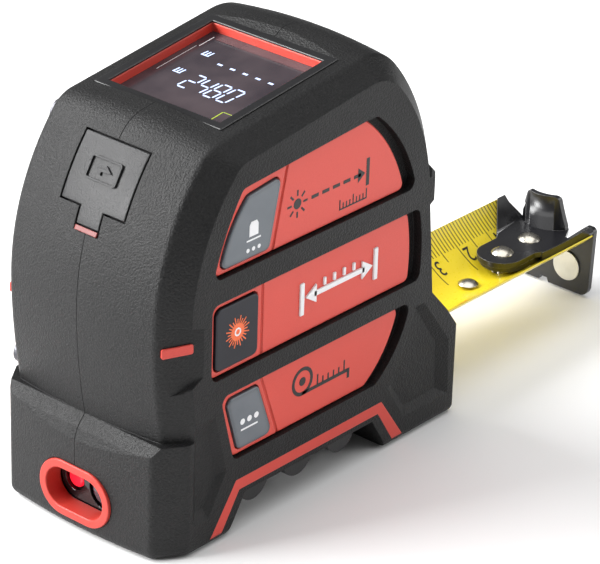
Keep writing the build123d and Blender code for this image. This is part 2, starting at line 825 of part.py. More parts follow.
def build_claw():
    """Upper plate of the hook: a flat middle, a wing on each side and a scooped ear at the tip."""
    rear = hook_zero - claw_length - 0.2
    half = claw_half_width
    shoulder = half + claw_shoulder
    wing_rear = hook_zero - 11.0
    wing_front = hook_zero - 0.15
    scoop_near = (hook_zero + 2.6, -3.2)
    scoop_middle = (hook_zero - 0.9, 2.4)
    scoop_far = (hook_zero + 2.1, 8.2)
    shift = hook_thickness
    edge = ThreePointArc((rear + half, half), (rear, 0), (rear + half, -half))
    near_side = Polyline(
        (rear + half, -half), (wing_rear, -half), (wing_rear + 2.6, -shoulder), (wing_front, -shoulder),
        (wing_front, -half), (scoop_near[0] + shift, scoop_near[1]),
    )
    fold = ThreePointArc(*[(x + shift, y) for x, y in (scoop_near, scoop_middle, scoop_far)])
    far_side = Polyline(
        (scoop_far[0] + shift, scoop_far[1]), (wing_front, shoulder), (wing_rear + 2.6, shoulder),
        (wing_rear, half), (rear + half, half),
    )
    body = plan_prism(make_face([edge, near_side, fold, far_side]), claw_low, claw_low + hook_thickness)
    saddle = end_prism(blade_section(blade_thickness + 0.15, blade_thickness + 1.65), wing_rear, wing_front)
    for way in (-1, 1):
        wing = rounded(outline(
            (wing_rear + 0.8, way * (half + 0.5)), (wing_front - 1.6, way * 12.5), (wing_front, way * 12.5),
            (wing_front, way * (half + 0.5)),
        ), 0.3)
        body += saddle & plan_prism(wing, 5, 25)
    scoop_arc = ThreePointArc(scoop_near, scoop_middle, scoop_far)
    scoop_sheet = thickness_sheet(scoop_arc, hook_thickness, claw_low + 0.2, claw_top + cut_margin)
    scoop_outline = outline(
        (-3.2, claw_low), (8.2, claw_low), (8.1, 13.4), (5.3, claw_top), (-1.9, claw_top), (-3.1, 13.6),
    )
    top_corners = scoop_outline.vertices().sort_by(Axis.Y)[-2:]
    scoop_outline = fillet(top_corners, claw_corner)
    body += scoop_sheet & end_prism(scoop_outline, hook_zero - 3, hook_zero + 8)
    body -= block(hook_zero - 0.05, hook_zero + hook_thickness + 0.05, 5.4, 13, 5, 17)
    body -= block(hook_zero - 0.05, hook_zero + hook_thickness + 0.05, -13, -5.4, 5, 17)
    for index in range(2):
        body -= pin(rivet_radius, 0, 30, hook_zero - rivet_near - index * rivet_spacing, 0)
    return body


def thickness_sheet(curve, thickness, z_low, z_high):
    """An upright curved sheet: the curve is its inner edge and the sheet grows towards +X."""
    start = curve @ 0
    middle = curve @ 0.5
    end = curve @ 1
    shift = Vector(thickness, 0, 0)
    outer = ThreePointArc(start + shift, middle + shift, end + shift)
    face = make_face([curve, Line(end, end + shift), outer, Line(start, start + shift)])
    return plan_prism(face, z_low, z_high)


def build_hook_rivets():
    rivets = []
    for index in range(2):
        x = hook_zero - rivet_near - index * rivet_spacing
        top = claw_low + hook_thickness
        rivet = pin(rivet_radius, blade_low - 0.5, top + 0.5, x, 0)
        rivet += dome(rivet_head_radius, rivet_head_height, top, x, 0)
        rivet += pin(rivet_tail_radius, blade_low - rivet_tail, blade_low - plate_gap, x, 0)
        rivets.append(rivet)
    return Compound(rivets)


def build_magnets():
    discs = []
    for way in (-1, 1):
        place = (way * magnet_spacing / 2, magnet_height)
        floor = hook_zero + magnet_thickness / 2
        discs.append(spindle(magnet_radius, floor - magnet_thickness, floor, *place))
    return Compound(discs)


def ring(outer, inner, y_low, y_high):
    hole = rod(inner, y_low - cut_margin, y_high + cut_margin, reel_x, reel_height)
    return rod(outer, y_low, y_high, reel_x, reel_height) - hole


def build_reel_drum():
    half = coil_half_width
    bore = post_radius + running_clearance
    body = ring(drum_radius, drum_radius - drum_wall, -half, half)
    body += ring(disc_radius, bore, half, half + disc_thickness)
    return body + ring(hub_radius, bore, half - 3, half)


def build_reel_cap():
    half = coil_half_width
    body = ring(disc_radius, post_radius + running_clearance, -half - disc_thickness, -half)
    seat = drum_radius - drum_wall
    return body + ring(seat, seat - drum_wall, -half, -half + 2)


def build_tape_coil():
    return ring(coil_radius, drum_radius, -blade_coil_width / 2, blade_coil_width / 2)


def build_power_spring():
    """A flat spiral of half turns, each a little larger than the one before."""
    body = None
    radius = post_radius + 1.4
    half_width = blade_coil_width / 2 - spring_edge_gap
    for turn in range(2 * spring_turns):
        way = 1 if turn % 2 == 0 else -1
        centre_x = reel_x - way * spring_pitch / 4
        whole = rod(radius + spring_thickness / 2, -half_width, half_width, centre_x, reel_height)
        whole -= rod(radius - spring_thickness / 2, -half_width, half_width, centre_x, reel_height)
        side = block(centre_x - 30, centre_x + 30, -20, 20, *sorted((reel_height, reel_height + way * 30)))
        piece = whole & side
        body = piece if body is None else body + piece
        radius += spring_pitch / 2
    return body


def build_post():
    return rod(post_radius, -inner_half_width, inner_half_width, reel_x, reel_height)


def build_panel(name, side):
    body = side_prism(panel_faces[name], -panel_face, -panel_back)
    front_edges = body.faces().sort_by(Axis.Y)[0].edges()
    body = chamfer(front_edges, panel_chamfer)
    if side > 0:
        return mirror(body, about=Plane.XZ)
    for button, panel in button_panels.items():
        if panel == name:
            body -= side_prism(offset(button_faces[button], amount=button_gap), -30, 0)
            body -= divider_groove(button)
    return body


def button_centre(name):
    centre = button_faces[name].center()
    return centre.X, centre.Y


def build_button(name):
    face = button_faces[name]
    flange_top = inner_half_width - 0.1
    cap = side_prism(face, -button_face, -flange_top)
    cap = fillet(cap.faces().sort_by(Axis.Y)[0].edges(), button_edge_radius)
    cap += side_prism(offset(face, amount=flange_lip), -flange_top, -flange_top + flange_thickness)
    x, z = button_centre(name)
    return cap + rod(plunger_head_radius, -flange_top + flange_thickness / 2, -plunger_top, x, z)


def build_plunger(name):
    x, z = button_centre(name)
    return rod(plunger_radius, -plunger_top, -switch_top + plunger_seat, x, z)


def build_switches():
    switches = []
    half = switch_size / 2
    for name in button_faces:
        x, z = button_centre(name)
        case = block(x - half, x + half, -switch_top, -board_outer, z - half, z + half)
        bore = rod(plunger_radius + running_clearance, -switch_top - cut_margin, -board_outer, x, z)
        switches.append(case - bore)
    return Compound(switches)


def build_main_board():
    face = outline((-31.0, 22.5), (-31.0, 62.5), (-24.0, 69.0), (-9.5, 69.0), (-9.5, 15.0), (-25.0, 15.0))
    board = side_prism(rounded(face, 1.0), -board_outer, -board_inner)
    return board - rod(boss_radius + 0.4, -30, 0, *screw_places[0])


def build_board_chips():
    chips = [
        block(-28.5, -23.5, -board_outer - 1.1, -board_outer, 52.0, 55.4),
        block(-14.5, -10.5, -board_outer - 0.9, -board_outer, 32.0, 40.0),
        block(-13.5, -10.6, -board_outer - 0.8, -board_outer, 45.0, 48.0),
    ]
    return Compound(chips)


def build_battery():
    shape = block(6.0, 26.0, drum_half_width + 0.5, inner_half_width - 0.3, 31.0, 62.0)
    return fillet(shape.edges().filter_by(Axis.Z), 1.2)


def build_lcd_module():
    return display_block(-0.6, -4.4, -display_sink - glass_thickness - 0.02)


def build_display_window():
    return display_block(-display_rim, -display_sink - glass_thickness, -display_sink)


def build_display_trim():
    """The coloured frame whose inner wall shows around the window."""
    body = display_block(-0.02, -display_sink - glass_thickness, -display_lip - 0.05)
    return body - display_block(-display_rim + 0.02, -9, 3)


def build_display_rim():
    """The dark outer frame, whose lip covers the edge of the coloured one."""
    rim = display_block(display_rim - 0.1, -3.0, 0.0) - display_block(0, -9, 3)
    lip = display_block(0, -display_lip, 0) - display_block(-display_rim + 0.05, -9, 3)
    return rim + lip


def build_flap():
    return flap_skin & flap_prism(0)


def build_usb_port():
    outer = extrude(flap_plane() * (Pos(0, 0, -9.5) * rounded(Rectangle(3.3, 9.0), 1.3)), 7.0)
    inner = extrude(flap_plane() * (Pos(0, 0, -8.5) * rounded(Rectangle(2.6, 8.3), 1.1)), 7.0)
    tongue = extrude(flap_plane() * (Pos(0, 0, -8.6) * Rectangle(0.7, 6.6)), 5.0)
    return (outer - inner) + tongue


def build_charging_board():
    return extrude(flap_plane() * (Pos(2.25, 0, -10.6) * Rectangle(board_thickness, 13.0)), 7.0)


def build_laser_bezel():
    ring_face = laser_opening(0) - laser_opening(-laser_ring_wall)
    body = end_prism(ring_face, case_rear - laser_ring_proud, case_rear + laser_module_front - 0.2)
    return fillet(body.faces().sort_by(Axis.X)[0].edges(), 0.25)


def laser_lens_place(way):
    return way * lens_spacing / 2, laser_height


def build_laser_module():
    front = case_rear + laser_module_front
    body = end_prism(laser_opening(-0.6), front, front + 2.4)
    body += block(front + 2.4, front + laser_module_depth, -8.2, 8.2, laser_height - 5.2, laser_height + 5.2)
    body -= spindle(emitter_radius + 0.5, front - 1, front + 1.2, *laser_lens_place(1))
    body -= spindle(receiver_radius + 0.3, front - 1, front + 1.6, *laser_lens_place(-1))
    return body


def build_lens(radius, way, depth):
    """A lens with a domed outer face."""
    front = case_rear + laser_module_front
    y, z = laser_lens_place(way)
    body = spindle(radius, front + 0.2, front + depth, y, z)
    return fillet(body.faces().sort_by(Axis.X)[0].edges(), lens_edge_radius)


def build_mouth_guide():
    frame = mouth_section(mouth_guide_wall - 0.05) - mouth_section(0)
    return end_prism(frame, case_front - mouth_guide_depth, case_front - 0.2)


def build_lock_button():
    plane = lock_plane()
    pad_face = rounded(Rectangle(lock_length, lock_width), 2.0)
    pad = extrude(plane * (Pos(0, 0, lock_stand) * pad_face), lock_proud)
    pad = fillet(pad.faces().sort_by(Axis.X)[-1].edges(), 0.6)
    for step in (-3, -1, 1, 3):
        groove = Pos(step, 0, lock_stand + lock_proud - 0.4) * Rectangle(0.7, lock_width - 3)
        pad -= extrude(plane * groove, cut_margin)
    stem = extrude(plane * (Pos(0, 0, -3.4) * Rectangle(lock_slot_width - 0.8, lock_slot_width - 0.4)), 4)
    return pad + stem


def build_lock_wedge():
    plane = lock_plane()
    return extrude(plane * (Pos(1.5, 0, -lock_wedge_depth) * Rectangle(8.0, 9.0)), lock_wedge_thickness)


def build_finger_grip():
    """Ribbed grip under the arch: a thin plate with round lobes across the case."""
    low = grip_height - 0.9
    half = grip_half_width - 0.3
    body = block(arch_rear + arch_slope, arch_front - arch_slope, -half, half, low, grip_height - 0.02)
    middle = (arch_rear + arch_front) / 2
    for index in range(rib_count):
        x = middle + (index - (rib_count - 1) / 2) * rib_pitch
        lobe = rod(rib_radius, -half, half, x, low - rib_drop + rib_radius)
        body += lobe & block(x - 9, x + 9, -half, half, low - rib_drop, grip_height - 0.02)
    return body


def build_screws():
    screws = []
    head_top = screw_head_low + screw_head_height
    for place in screw_places:
        head = rod(screw_head_radius, screw_head_low, head_top, *place)
        shank = rod(screw_radius, -screw_reach, screw_head_low, *place)
        recess = rod(screw_head_radius * 0.4, head_top - screw_head_height / 2, head_top, *place)
        screws.append(head + shank - recess)
    return Compound(screws)


def build_belt_clip():
    """A bent spring strip, screwed on at the top and sprung in at the bottom."""
    x, z = clip_screw_place
    base = case_half_width + 0.05 + clip_thickness / 2
    outer = base + clip_stand
    low = z - clip_length + 8
    side = [
        (base, z - 7), (base, z + 7), (base + 1.5, z + 9.2), (outer - 1.5, z + 9.2), (outer, z + 7.5),
        (outer - 2.6, low + 5), (outer - 0.6, low),
    ]
    path = FilletPolyline(*side, radius=clip_bend_radius)
    strip = trace(path, clip_thickness)
    body = end_prism(strip, x - clip_width / 2, x + clip_width / 2)
    body -= rod(clip_screw_radius + 0.1, 10, base + clip_thickness, x, z)
    return body - rod(clip_screw_head + 0.6, base + clip_thickness, 40, x, z)


def build_clip_screw():
    x, z = clip_screw_place
    base = case_half_width + 0.1 + clip_thickness
    shank = rod(clip_screw_radius, drum_half_width + 1.4, base, x, z)
    return shank + dome_across(clip_screw_head, clip_screw_head_height, base, x, z)


def dome_across(radius, height, y, x, z):
    sphere_radius = (radius * radius + height * height) / (2 * height)
    ball = Pos(x, y + height - sphere_radius, z) * Sphere(sphere_radius)
    return ball & rod(radius, y, y + height + 1, x, z)


nodes = {}
nodes["button_side_shell"] = case_half(-1)
nodes["clip_side_shell"] = case_half(1)
for panel in panel_faces:
    nodes[f"side_panel_{panel}"] = build_panel(panel, -1)
    nodes[f"far_panel_{panel}"] = build_panel(panel, 1)
nodes["foot_stripes"] = Compound([stripe_body(-1), stripe_body(1)])
nodes["corner_accents"] = Compound([accent_body(-1), accent_body(1)])
nodes["finger_grip"] = build_finger_grip()
nodes["laser_bezel"] = build_laser_bezel()
nodes["laser_module"] = build_laser_module()
nodes["emitter_lens"] = build_lens(emitter_radius, 1, 1.0)
nodes["receiver_lens"] = build_lens(receiver_radius, -1, 1.4)
nodes["display_rim"] = build_display_rim()
nodes["display_trim"] = build_display_trim()
nodes["display_window"] = build_display_window()
nodes["lcd_module"] = build_lcd_module()
nodes["charging_flap"] = build_flap()
nodes["usb_port"] = build_usb_port()
nodes["charging_board"] = build_charging_board()
for button in button_faces:
    nodes[f"button_{button}"] = build_button(button)
    nodes[f"plunger_{button}"] = build_plunger(button)
nodes["tact_switches"] = build_switches()
nodes["main_board"] = build_main_board()
nodes["board_chips"] = build_board_chips()
nodes["battery"] = build_battery()
nodes["centre_post"] = build_post()
nodes["reel_drum"] = build_reel_drum()
nodes["reel_cap"] = build_reel_cap()
nodes["tape_coil"] = build_tape_coil()
nodes["power_spring"] = build_power_spring()
nodes["blade"] = build_blade()
nodes["stop_rivet"] = build_stop_rivet()
nodes["hook"] = build_hook()
nodes["hook_claw"] = build_claw()
nodes["hook_rivets"] = build_hook_rivets()
nodes["hook_magnets"] = build_magnets()
nodes["mouth_guide"] = build_mouth_guide()
nodes["lock_button"] = build_lock_button()
nodes["lock_wedge"] = build_lock_wedge()
nodes["case_screws"] = build_screws()
nodes["belt_clip"] = build_belt_clip()
nodes["clip_screw"] = build_clip_screw()

for name, shape in nodes.items():
    export_step(Pos(-origin_x, 0, 0) * shape, f"parts/{name}.step")
    print(name, round(shape.volume, 1))
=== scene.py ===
from math import cos, radians, sin

import bmesh
import bpy
from mathutils import Matrix, Vector
from mathutils.bvhtree import BVHTree


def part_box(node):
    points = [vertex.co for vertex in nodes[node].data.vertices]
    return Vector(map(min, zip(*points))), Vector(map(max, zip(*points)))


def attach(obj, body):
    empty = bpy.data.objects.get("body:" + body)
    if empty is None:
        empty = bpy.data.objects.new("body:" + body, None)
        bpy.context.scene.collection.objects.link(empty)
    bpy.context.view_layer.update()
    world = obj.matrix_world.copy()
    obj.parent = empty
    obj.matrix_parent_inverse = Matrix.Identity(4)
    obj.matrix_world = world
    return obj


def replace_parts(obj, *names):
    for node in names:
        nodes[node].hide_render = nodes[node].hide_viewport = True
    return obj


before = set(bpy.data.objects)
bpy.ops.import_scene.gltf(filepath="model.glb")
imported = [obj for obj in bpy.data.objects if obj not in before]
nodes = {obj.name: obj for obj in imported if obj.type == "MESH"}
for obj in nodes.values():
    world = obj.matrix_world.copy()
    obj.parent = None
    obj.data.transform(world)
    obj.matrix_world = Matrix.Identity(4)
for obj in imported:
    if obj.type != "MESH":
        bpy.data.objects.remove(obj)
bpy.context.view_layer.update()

mm = 0.001
weld = 0.002 * mm  # corners this near each other are one corner
xAxis = Vector((1, 0, 0))
yAxis = Vector((0, 1, 0))
zAxis = Vector((0, 0, 1))


# camera, floor and lights

stageLook = {
    "eye": Vector((-0.3706, -0.3603, 0.3085)),
    "right": Vector((0.6577, -0.7528, 0.0281)),
    "up": Vector((0.3211, 0.3139, 0.8935)),
    "lens": 190.4,
    "floorSize": 6.0,
    "floorColour": (0.86, 0.86, 0.86, 1),
    "worldColour": (1.0, 1.0, 1.0, 1),
    "worldStrength": 0.18,
}

# each light: where it stands, what it points at, width, height, watts
softBoxes = {
    "backSoftBox": (Vector((-0.30, 0.72, 0.66)), Vector((0.0, 0, 0.05)), 0.7, 0.4, 14.0),
    "leftSoftBox": (Vector((-0.80, 0.50, 0.36)), Vector((0.0, 0, 0.06)), 0.35, 0.5, 14.0),
    "topSoftBox": (Vector((0.05, -0.05, 1.0)), Vector((0.03, 0, 0.0)), 1.1, 1.1, 8.0),
    "rightSoftBox": (Vector((0.75, -0.75, 0.35)), Vector((0.03, 0, 0.04)), 0.6, 0.6, 4.0),
}


def placed(origin, right, up):
    # the place of a flat drawing: its X runs along right, its Y along up, its Z out of the face
    right = right.normalized()
    out = right.cross(up).normalized()
    up = out.cross(right)
    turn = Matrix((right, up, out)).transposed().to_4x4()
    return Matrix.Translation(origin) @ turn


def makeStage():
    camera = bpy.data.objects.new("camera", bpy.data.cameras.new("camera"))
    bpy.context.scene.collection.objects.link(camera)
    camera.data.lens = stageLook["lens"]
    camera.data.sensor_width = 36
    camera.data.clip_start = 0.01
    camera.matrix_world = placed(stageLook["eye"], stageLook["right"], stageLook["up"])
    bpy.context.scene.camera = camera

    bm = bmesh.new()
    bmesh.ops.create_grid(bm, x_segments=4, y_segments=4, size=stageLook["floorSize"] / 2)
    mesh = bpy.data.meshes.new("floor")
    bm.to_mesh(mesh)
    bm.free()
    floor = bpy.data.objects.new("floor", mesh)
    bpy.context.scene.collection.objects.link(floor)
    paper = bpy.data.materials.new("floorPaper")
    paper.use_nodes = True
    shader = paper.node_tree.nodes["Principled BSDF"]
    shader.inputs["Base Color"].default_value = stageLook["floorColour"]
    shader.inputs["Roughness"].default_value = 0.8
    mesh.materials.append(paper)

    world = bpy.data.worlds.new("studio")
    world.use_nodes = True
    background = world.node_tree.nodes["Background"]
    background.inputs["Color"].default_value = stageLook["worldColour"]
    background.inputs["Strength"].default_value = stageLook["worldStrength"]
    bpy.context.scene.world = world
    bpy.context.scene.view_settings.view_transform = "Standard"

    for name, (spot, aim, width, height, power) in softBoxes.items():
        lamp = bpy.data.lights.new(name, "AREA")
        lamp.shape = "RECTANGLE"
        lamp.size = width
        lamp.size_y = height
        lamp.energy = power
        light = bpy.data.objects.new(name, lamp)
        bpy.context.scene.collection.objects.link(light)
        light.location = spot
        light.rotation_euler = (aim - spot).to_track_quat("-Z", "Y").to_euler()


makeStage()
print("camera, floor and lights are up")


# shared surface effects

def newGroup(name, inputs, outputs):
    group = bpy.data.node_groups.new(name, "ShaderNodeTree")
    for label, value in inputs.items():
        socket = group.interface.new_socket(name=label, in_out="INPUT", socket_type="NodeSocketFloat")
        socket.default_value = value
    for label, kind in outputs.items():
        group.interface.new_socket(name=label, in_out="OUTPUT", socket_type=kind)
    return group, group.nodes.new("NodeGroupInput"), group.nodes.new("NodeGroupOutput")


def addMath(tree, operation, first, second=None, third=None):
    node = tree.nodes.new("ShaderNodeMath")
    node.operation = operation
    for place, value in enumerate((first, second, third)):
        if value is None:
            continue
        if isinstance(value, (int, float)):
            node.inputs[place].default_value = value
        else:
            tree.links.new(value, node.inputs[place])
    return node.outputs[0]


def addNoise(tree, coords, scale, detail, roughness):
    node = tree.nodes.new("ShaderNodeTexNoise")
    node.inputs["Detail"].default_value = detail
    node.inputs["Roughness"].default_value = roughness
    tree.links.new(coords, node.inputs["Vector"])
    if isinstance(scale, (int, float)):
        node.inputs["Scale"].default_value = scale
    else:
        tree.links.new(scale, node.inputs["Scale"])
    return node.outputs["Fac"]


def addMix(tree, factor, first, second):
    node = tree.nodes.new("ShaderNodeMix")
    node.data_type = "RGBA"
    if isinstance(factor, (int, float)):
        node.inputs["Factor"].default_value = factor
    else:
        tree.links.new(factor, node.inputs["Factor"])
    for place, value in ((6, first), (7, second)):
        if isinstance(value, tuple):
            node.inputs[place].default_value = (*value, 1)
        else:
            tree.links.new(value, node.inputs[place])
    return node.outputs[2]


def addRange(tree, value, low, high, fromLow=0.0, fromHigh=1.0):
    node = tree.nodes.new("ShaderNodeMapRange")
    node.inputs["From Min"].default_value = fromLow
    node.inputs["From Max"].default_value = fromHigh
    node.inputs["To Min"].default_value = low
    node.inputs["To Max"].default_value = high
    tree.links.new(value, node.inputs["Value"])
    return node.outputs["Result"]


def makeGrainGroup():
    # fine moulded grain, and broad soft patches where hands have polished it
    group, given, result = newGroup(
        "mouldedGrain", {"Grain Scale": 2500.0, "Patch Scale": 45.0},
        {"Grain": "NodeSocketFloat", "Patch": "NodeSocketFloat"})
    coords = group.nodes.new("ShaderNodeTexCoord").outputs["Object"]
    fine = addNoise(group, coords, given.outputs["Grain Scale"], 2.0, 0.6)
    broad = addNoise(group, coords, given.outputs["Patch Scale"], 3.0, 0.55)
    group.links.new(addRange(group, fine, 0.0, 1.0, 0.3, 0.7), result.inputs["Grain"])
    group.links.new(addRange(group, broad, 0.0, 1.0, 0.35, 0.65), result.inputs["Patch"])
    return group


def makeEdgeGroup():
    # rounds crisp corners a little, and finds them for a lighter tone: partly rubbed wear, partly a
    # painted highlight along the edges
    group, given, result = newGroup(
        "roundedEdgesWearAndHighlight", {"Radius": 0.0003, "Strength": 2.0},
        {"Mask": "NodeSocketFloat", "Normal": "NodeSocketVector"})
    bevel = group.nodes.new("ShaderNodeBevel")
    bevel.samples = 6
    group.links.new(given.outputs["Radius"], bevel.inputs["Radius"])
    plain = group.nodes.new("ShaderNodeNewGeometry").outputs["Normal"]
    dot = group.nodes.new("ShaderNodeVectorMath")
    dot.operation = "DOT_PRODUCT"
    group.links.new(bevel.outputs["Normal"], dot.inputs[0])
    group.links.new(plain, dot.inputs[1])
    turned = addMath(group, "SUBTRACT", 1.0, dot.outputs["Value"])
    mask = addMath(group, "MULTIPLY", turned, given.outputs["Strength"])
    group.links.new(addRange(group, mask, 0.0, 1.0), result.inputs["Mask"])
    group.links.new(bevel.outputs["Normal"], result.inputs["Normal"])
    return group


def makeScratchGroup():
    # fine drawn lines on metal, along X
    group, given, result = newGroup(
        "drawnLines", {"Line Scale": 6000.0, "Stretch": 0.03},
        {"Lines": "NodeSocketFloat", "Stain": "NodeSocketFloat"})
    coords = group.nodes.new("ShaderNodeTexCoord").outputs["Object"]
    stretch = group.nodes.new("ShaderNodeCombineXYZ")
    group.links.new(given.outputs["Stretch"], stretch.inputs["X"])
    stretch.inputs["Y"].default_value = 1.0
    stretch.inputs["Z"].default_value = 1.0
    drawn = group.nodes.new("ShaderNodeVectorMath")
    drawn.operation = "MULTIPLY"
    group.links.new(coords, drawn.inputs[0])
    group.links.new(stretch.outputs["Vector"], drawn.inputs[1])
    lines = addNoise(group, drawn.outputs["Vector"], given.outputs["Line Scale"], 2.0, 0.5)
    stain = addNoise(group, coords, 180.0, 4.0, 0.6)
    group.links.new(addRange(group, lines, 0.0, 1.0, 0.3, 0.7), result.inputs["Lines"])
    group.links.new(addRange(group, stain, 0.0, 1.0, 0.4, 0.7), result.inputs["Stain"])
    return group


grainGroup = makeGrainGroup()
edgeGroup = makeEdgeGroup()
scratchGroup = makeScratchGroup()


def useGroup(tree, group, values):
    node = tree.nodes.new("ShaderNodeGroup")
    node.node_tree = group
    for label, value in values.items():
        node.inputs[label].default_value = value
    return node


def newMaterial(name):
    material = bpy.data.materials.new(name)
    material.use_nodes = True
    return material, material.node_tree, material.node_tree.nodes["Principled BSDF"]


def addBump(tree, shader, height, depth, normal=None):
    bump = tree.nodes.new("ShaderNodeBump")
    bump.inputs["Strength"].default_value = 1.0
    bump.inputs["Distance"].default_value = depth
    tree.links.new(height, bump.inputs["Height"])
    if normal is not None:
        tree.links.new(normal, bump.inputs["Normal"])
    tree.links.new(bump.outputs["Normal"], shader.inputs["Normal"])


def moulded(name, look):
    # rubber, plastic or paint: base tone, patches, lighter edges (rubbed wear and a painted highlight),
    # grain
    material, tree, shader = newMaterial(name)
    grain = useGroup(tree, grainGroup, {
        "Grain Scale": look["grainScale"], "Patch Scale": look.get("patchScale", 45)})
    edge = useGroup(tree, edgeGroup, {
        "Radius": look.get("edgeRadius", 0.00025), "Strength": look.get("edgeStrength", 2.0)})
    tone = addMix(tree, grain.outputs["Patch"], look["colour"], look["patch"])
    speck = addMix(tree, grain.outputs["Grain"], tone, look.get("speck", look["patch"]))
    # the edge colour on crisp edges: partly rubbed wear, partly a painted highlight
    tone = addMix(tree, edge.outputs["Mask"], speck, look["edge"])
    tree.links.new(tone, shader.inputs["Base Color"])
    rough = addRange(tree, grain.outputs["Patch"], look["roughness"][0], look["roughness"][1])
    tree.links.new(rough, shader.inputs["Roughness"])
    addBump(tree, shader, grain.outputs["Grain"], look["depth"], edge.outputs["Normal"])
    shader.inputs["Specular IOR Level"].default_value = look.get("specular", 0.5)
    if "coat" in look:
        shader.inputs["Coat Weight"].default_value = look["coat"]
        shader.inputs["Coat Roughness"].default_value = look.get("coatRoughness", 0.1)
    return material


def metal(name, look):
    material, tree, shader = newMaterial(name)
    lines = useGroup(tree, scratchGroup, {
        "Line Scale": look.get("lineScale", 6000), "Stretch": look.get("stretch", 0.03)})
    edge = useGroup(tree, edgeGroup, {"Radius": look.get("edgeRadius", 0.00015), "Strength": 1.5})
    tone = addMix(tree, lines.outputs["Stain"], look["colour"], look["stain"])
    # lighter edges: partly rubbed wear, partly a painted highlight
    tone = addMix(tree, edge.outputs["Mask"], tone, look["edge"])
    tree.links.new(tone, shader.inputs["Base Color"])
    rough = addRange(tree, lines.outputs["Lines"], look["roughness"][0], look["roughness"][1])
    tree.links.new(rough, shader.inputs["Roughness"])
    addBump(tree, shader, lines.outputs["Lines"], look.get("depth", 0.000002), edge.outputs["Normal"])
    shader.inputs["Metallic"].default_value = 1.0
    return material


finishes = {}

# each look's edge colour goes on crisp edges: partly rubbed wear, partly a painted highlight
mouldedLooks = {
    "blackOvermould": {
        "colour": (0.0035, 0.0035, 0.004), "patch": (0.007, 0.007, 0.0075), "speck": (0.016, 0.016, 0.016),
        "edge": (0.030, 0.030, 0.031), "roughness": (0.38, 0.50), "grainScale": 2500, "depth": 0.00008,
        "edgeRadius": 0.0003, "edgeStrength": 1.2, "specular": 0.24},
    "ribRubber": {
        "colour": (0.010, 0.010, 0.011), "patch": (0.018, 0.018, 0.019), "edge": (0.05, 0.05, 0.05),
        "roughness": (0.22, 0.34), "grainScale": 1800, "depth": 0.000012},
    "flapRubber": {
        "colour": (0.005, 0.005, 0.0055), "patch": (0.010, 0.010, 0.011), "edge": (0.06, 0.06, 0.062),
        "roughness": (0.36, 0.46), "grainScale": 2600, "depth": 0.00003, "specular": 0.35},
    "redPlastic": {
        "colour": (0.66, 0.060, 0.040), "patch": (0.70, 0.072, 0.050), "edge": (0.86, 0.17, 0.12),
        "roughness": (0.34, 0.42), "grainScale": 4200, "depth": 0.000006, "edgeRadius": 0.0004,
        "edgeStrength": 1.6},
    "redRubber": {
        "colour": (0.55, 0.042, 0.030), "patch": (0.62, 0.055, 0.038), "edge": (0.78, 0.12, 0.09),
        "roughness": (0.42, 0.55), "grainScale": 3000, "depth": 0.00001},
    "blackPlastic": {
        "colour": (0.009, 0.009, 0.010), "patch": (0.014, 0.014, 0.015), "edge": (0.06, 0.06, 0.062),
        "roughness": (0.22, 0.32), "grainScale": 2500, "depth": 0.000004},
    "navyButton": {
        "colour": (0.008, 0.009, 0.014), "patch": (0.012, 0.013, 0.020), "edge": (0.06, 0.07, 0.09),
        "roughness": (0.30, 0.38), "grainScale": 3500, "depth": 0.000005, "specular": 0.35},
    "lipPlastic": {
        "colour": (0.13, 0.010, 0.008), "patch": (0.17, 0.014, 0.010), "edge": (0.25, 0.03, 0.02),
        "roughness": (0.40, 0.50), "grainScale": 3000, "depth": 0.000006},
    "bezelPlastic": {
        "colour": (0.44, 0.036, 0.026), "patch": (0.50, 0.044, 0.032), "edge": (0.70, 0.12, 0.09),
        "roughness": (0.34, 0.44), "grainScale": 4200, "depth": 0.000006, "specular": 0.35},
    "smokyPlastic": {
        "colour": (0.004, 0.004, 0.005), "patch": (0.007, 0.006, 0.007), "edge": (0.05, 0.03, 0.03),
        "roughness": (0.05, 0.10), "grainScale": 2500, "depth": 0.000001, "specular": 0.6},
    # the hook paint's pale edge colour is a painted highlight along its edges
    "hookPaint": {
        "colour": (0.006, 0.006, 0.007), "patch": (0.011, 0.011, 0.013), "edge": (0.30, 0.30, 0.30),
        "roughness": (0.26, 0.36), "grainScale": 1500, "depth": 0.000006, "edgeRadius": 0.0002,
        "edgeStrength": 1.2, "coat": 0.25, "coatRoughness": 0.2},
    "greenBoard": {
        "colour": (0.010, 0.075, 0.030), "patch": (0.016, 0.11, 0.045), "edge": (0.30, 0.28, 0.12),
        "roughness": (0.30, 0.42), "grainScale": 900, "patchScale": 260, "depth": 0.000015},
    "chipPlastic": {
        "colour": (0.012, 0.012, 0.013), "patch": (0.02, 0.02, 0.022), "edge": (0.06, 0.06, 0.06),
        "roughness": (0.45, 0.6), "grainScale": 3500, "depth": 0.00001},
    "batteryWrap": {
        "colour": (0.45, 0.47, 0.50), "patch": (0.55, 0.57, 0.60), "edge": (0.7, 0.7, 0.72),
        "roughness": (0.22, 0.36), "grainScale": 700, "patchScale": 120, "depth": 0.00003},
    "whitePrint": {
        "colour": (0.80, 0.80, 0.82), "patch": (0.86, 0.86, 0.88), "edge": (0.95, 0.95, 0.95),
        "roughness": (0.40, 0.5), "grainScale": 5000, "depth": 0.000003},
    "blackPrint": {
        "colour": (0.010, 0.010, 0.010), "patch": (0.014, 0.014, 0.014), "edge": (0.03, 0.03, 0.03),
        "roughness": (0.40, 0.5), "grainScale": 5000, "depth": 0.000003},
    "orangePrint": {
        "colour": (0.85, 0.13, 0.03), "patch": (0.90, 0.17, 0.045), "edge": (0.95, 0.25, 0.1),
        "roughness": (0.35, 0.45), "grainScale": 5000, "depth": 0.000003},
}
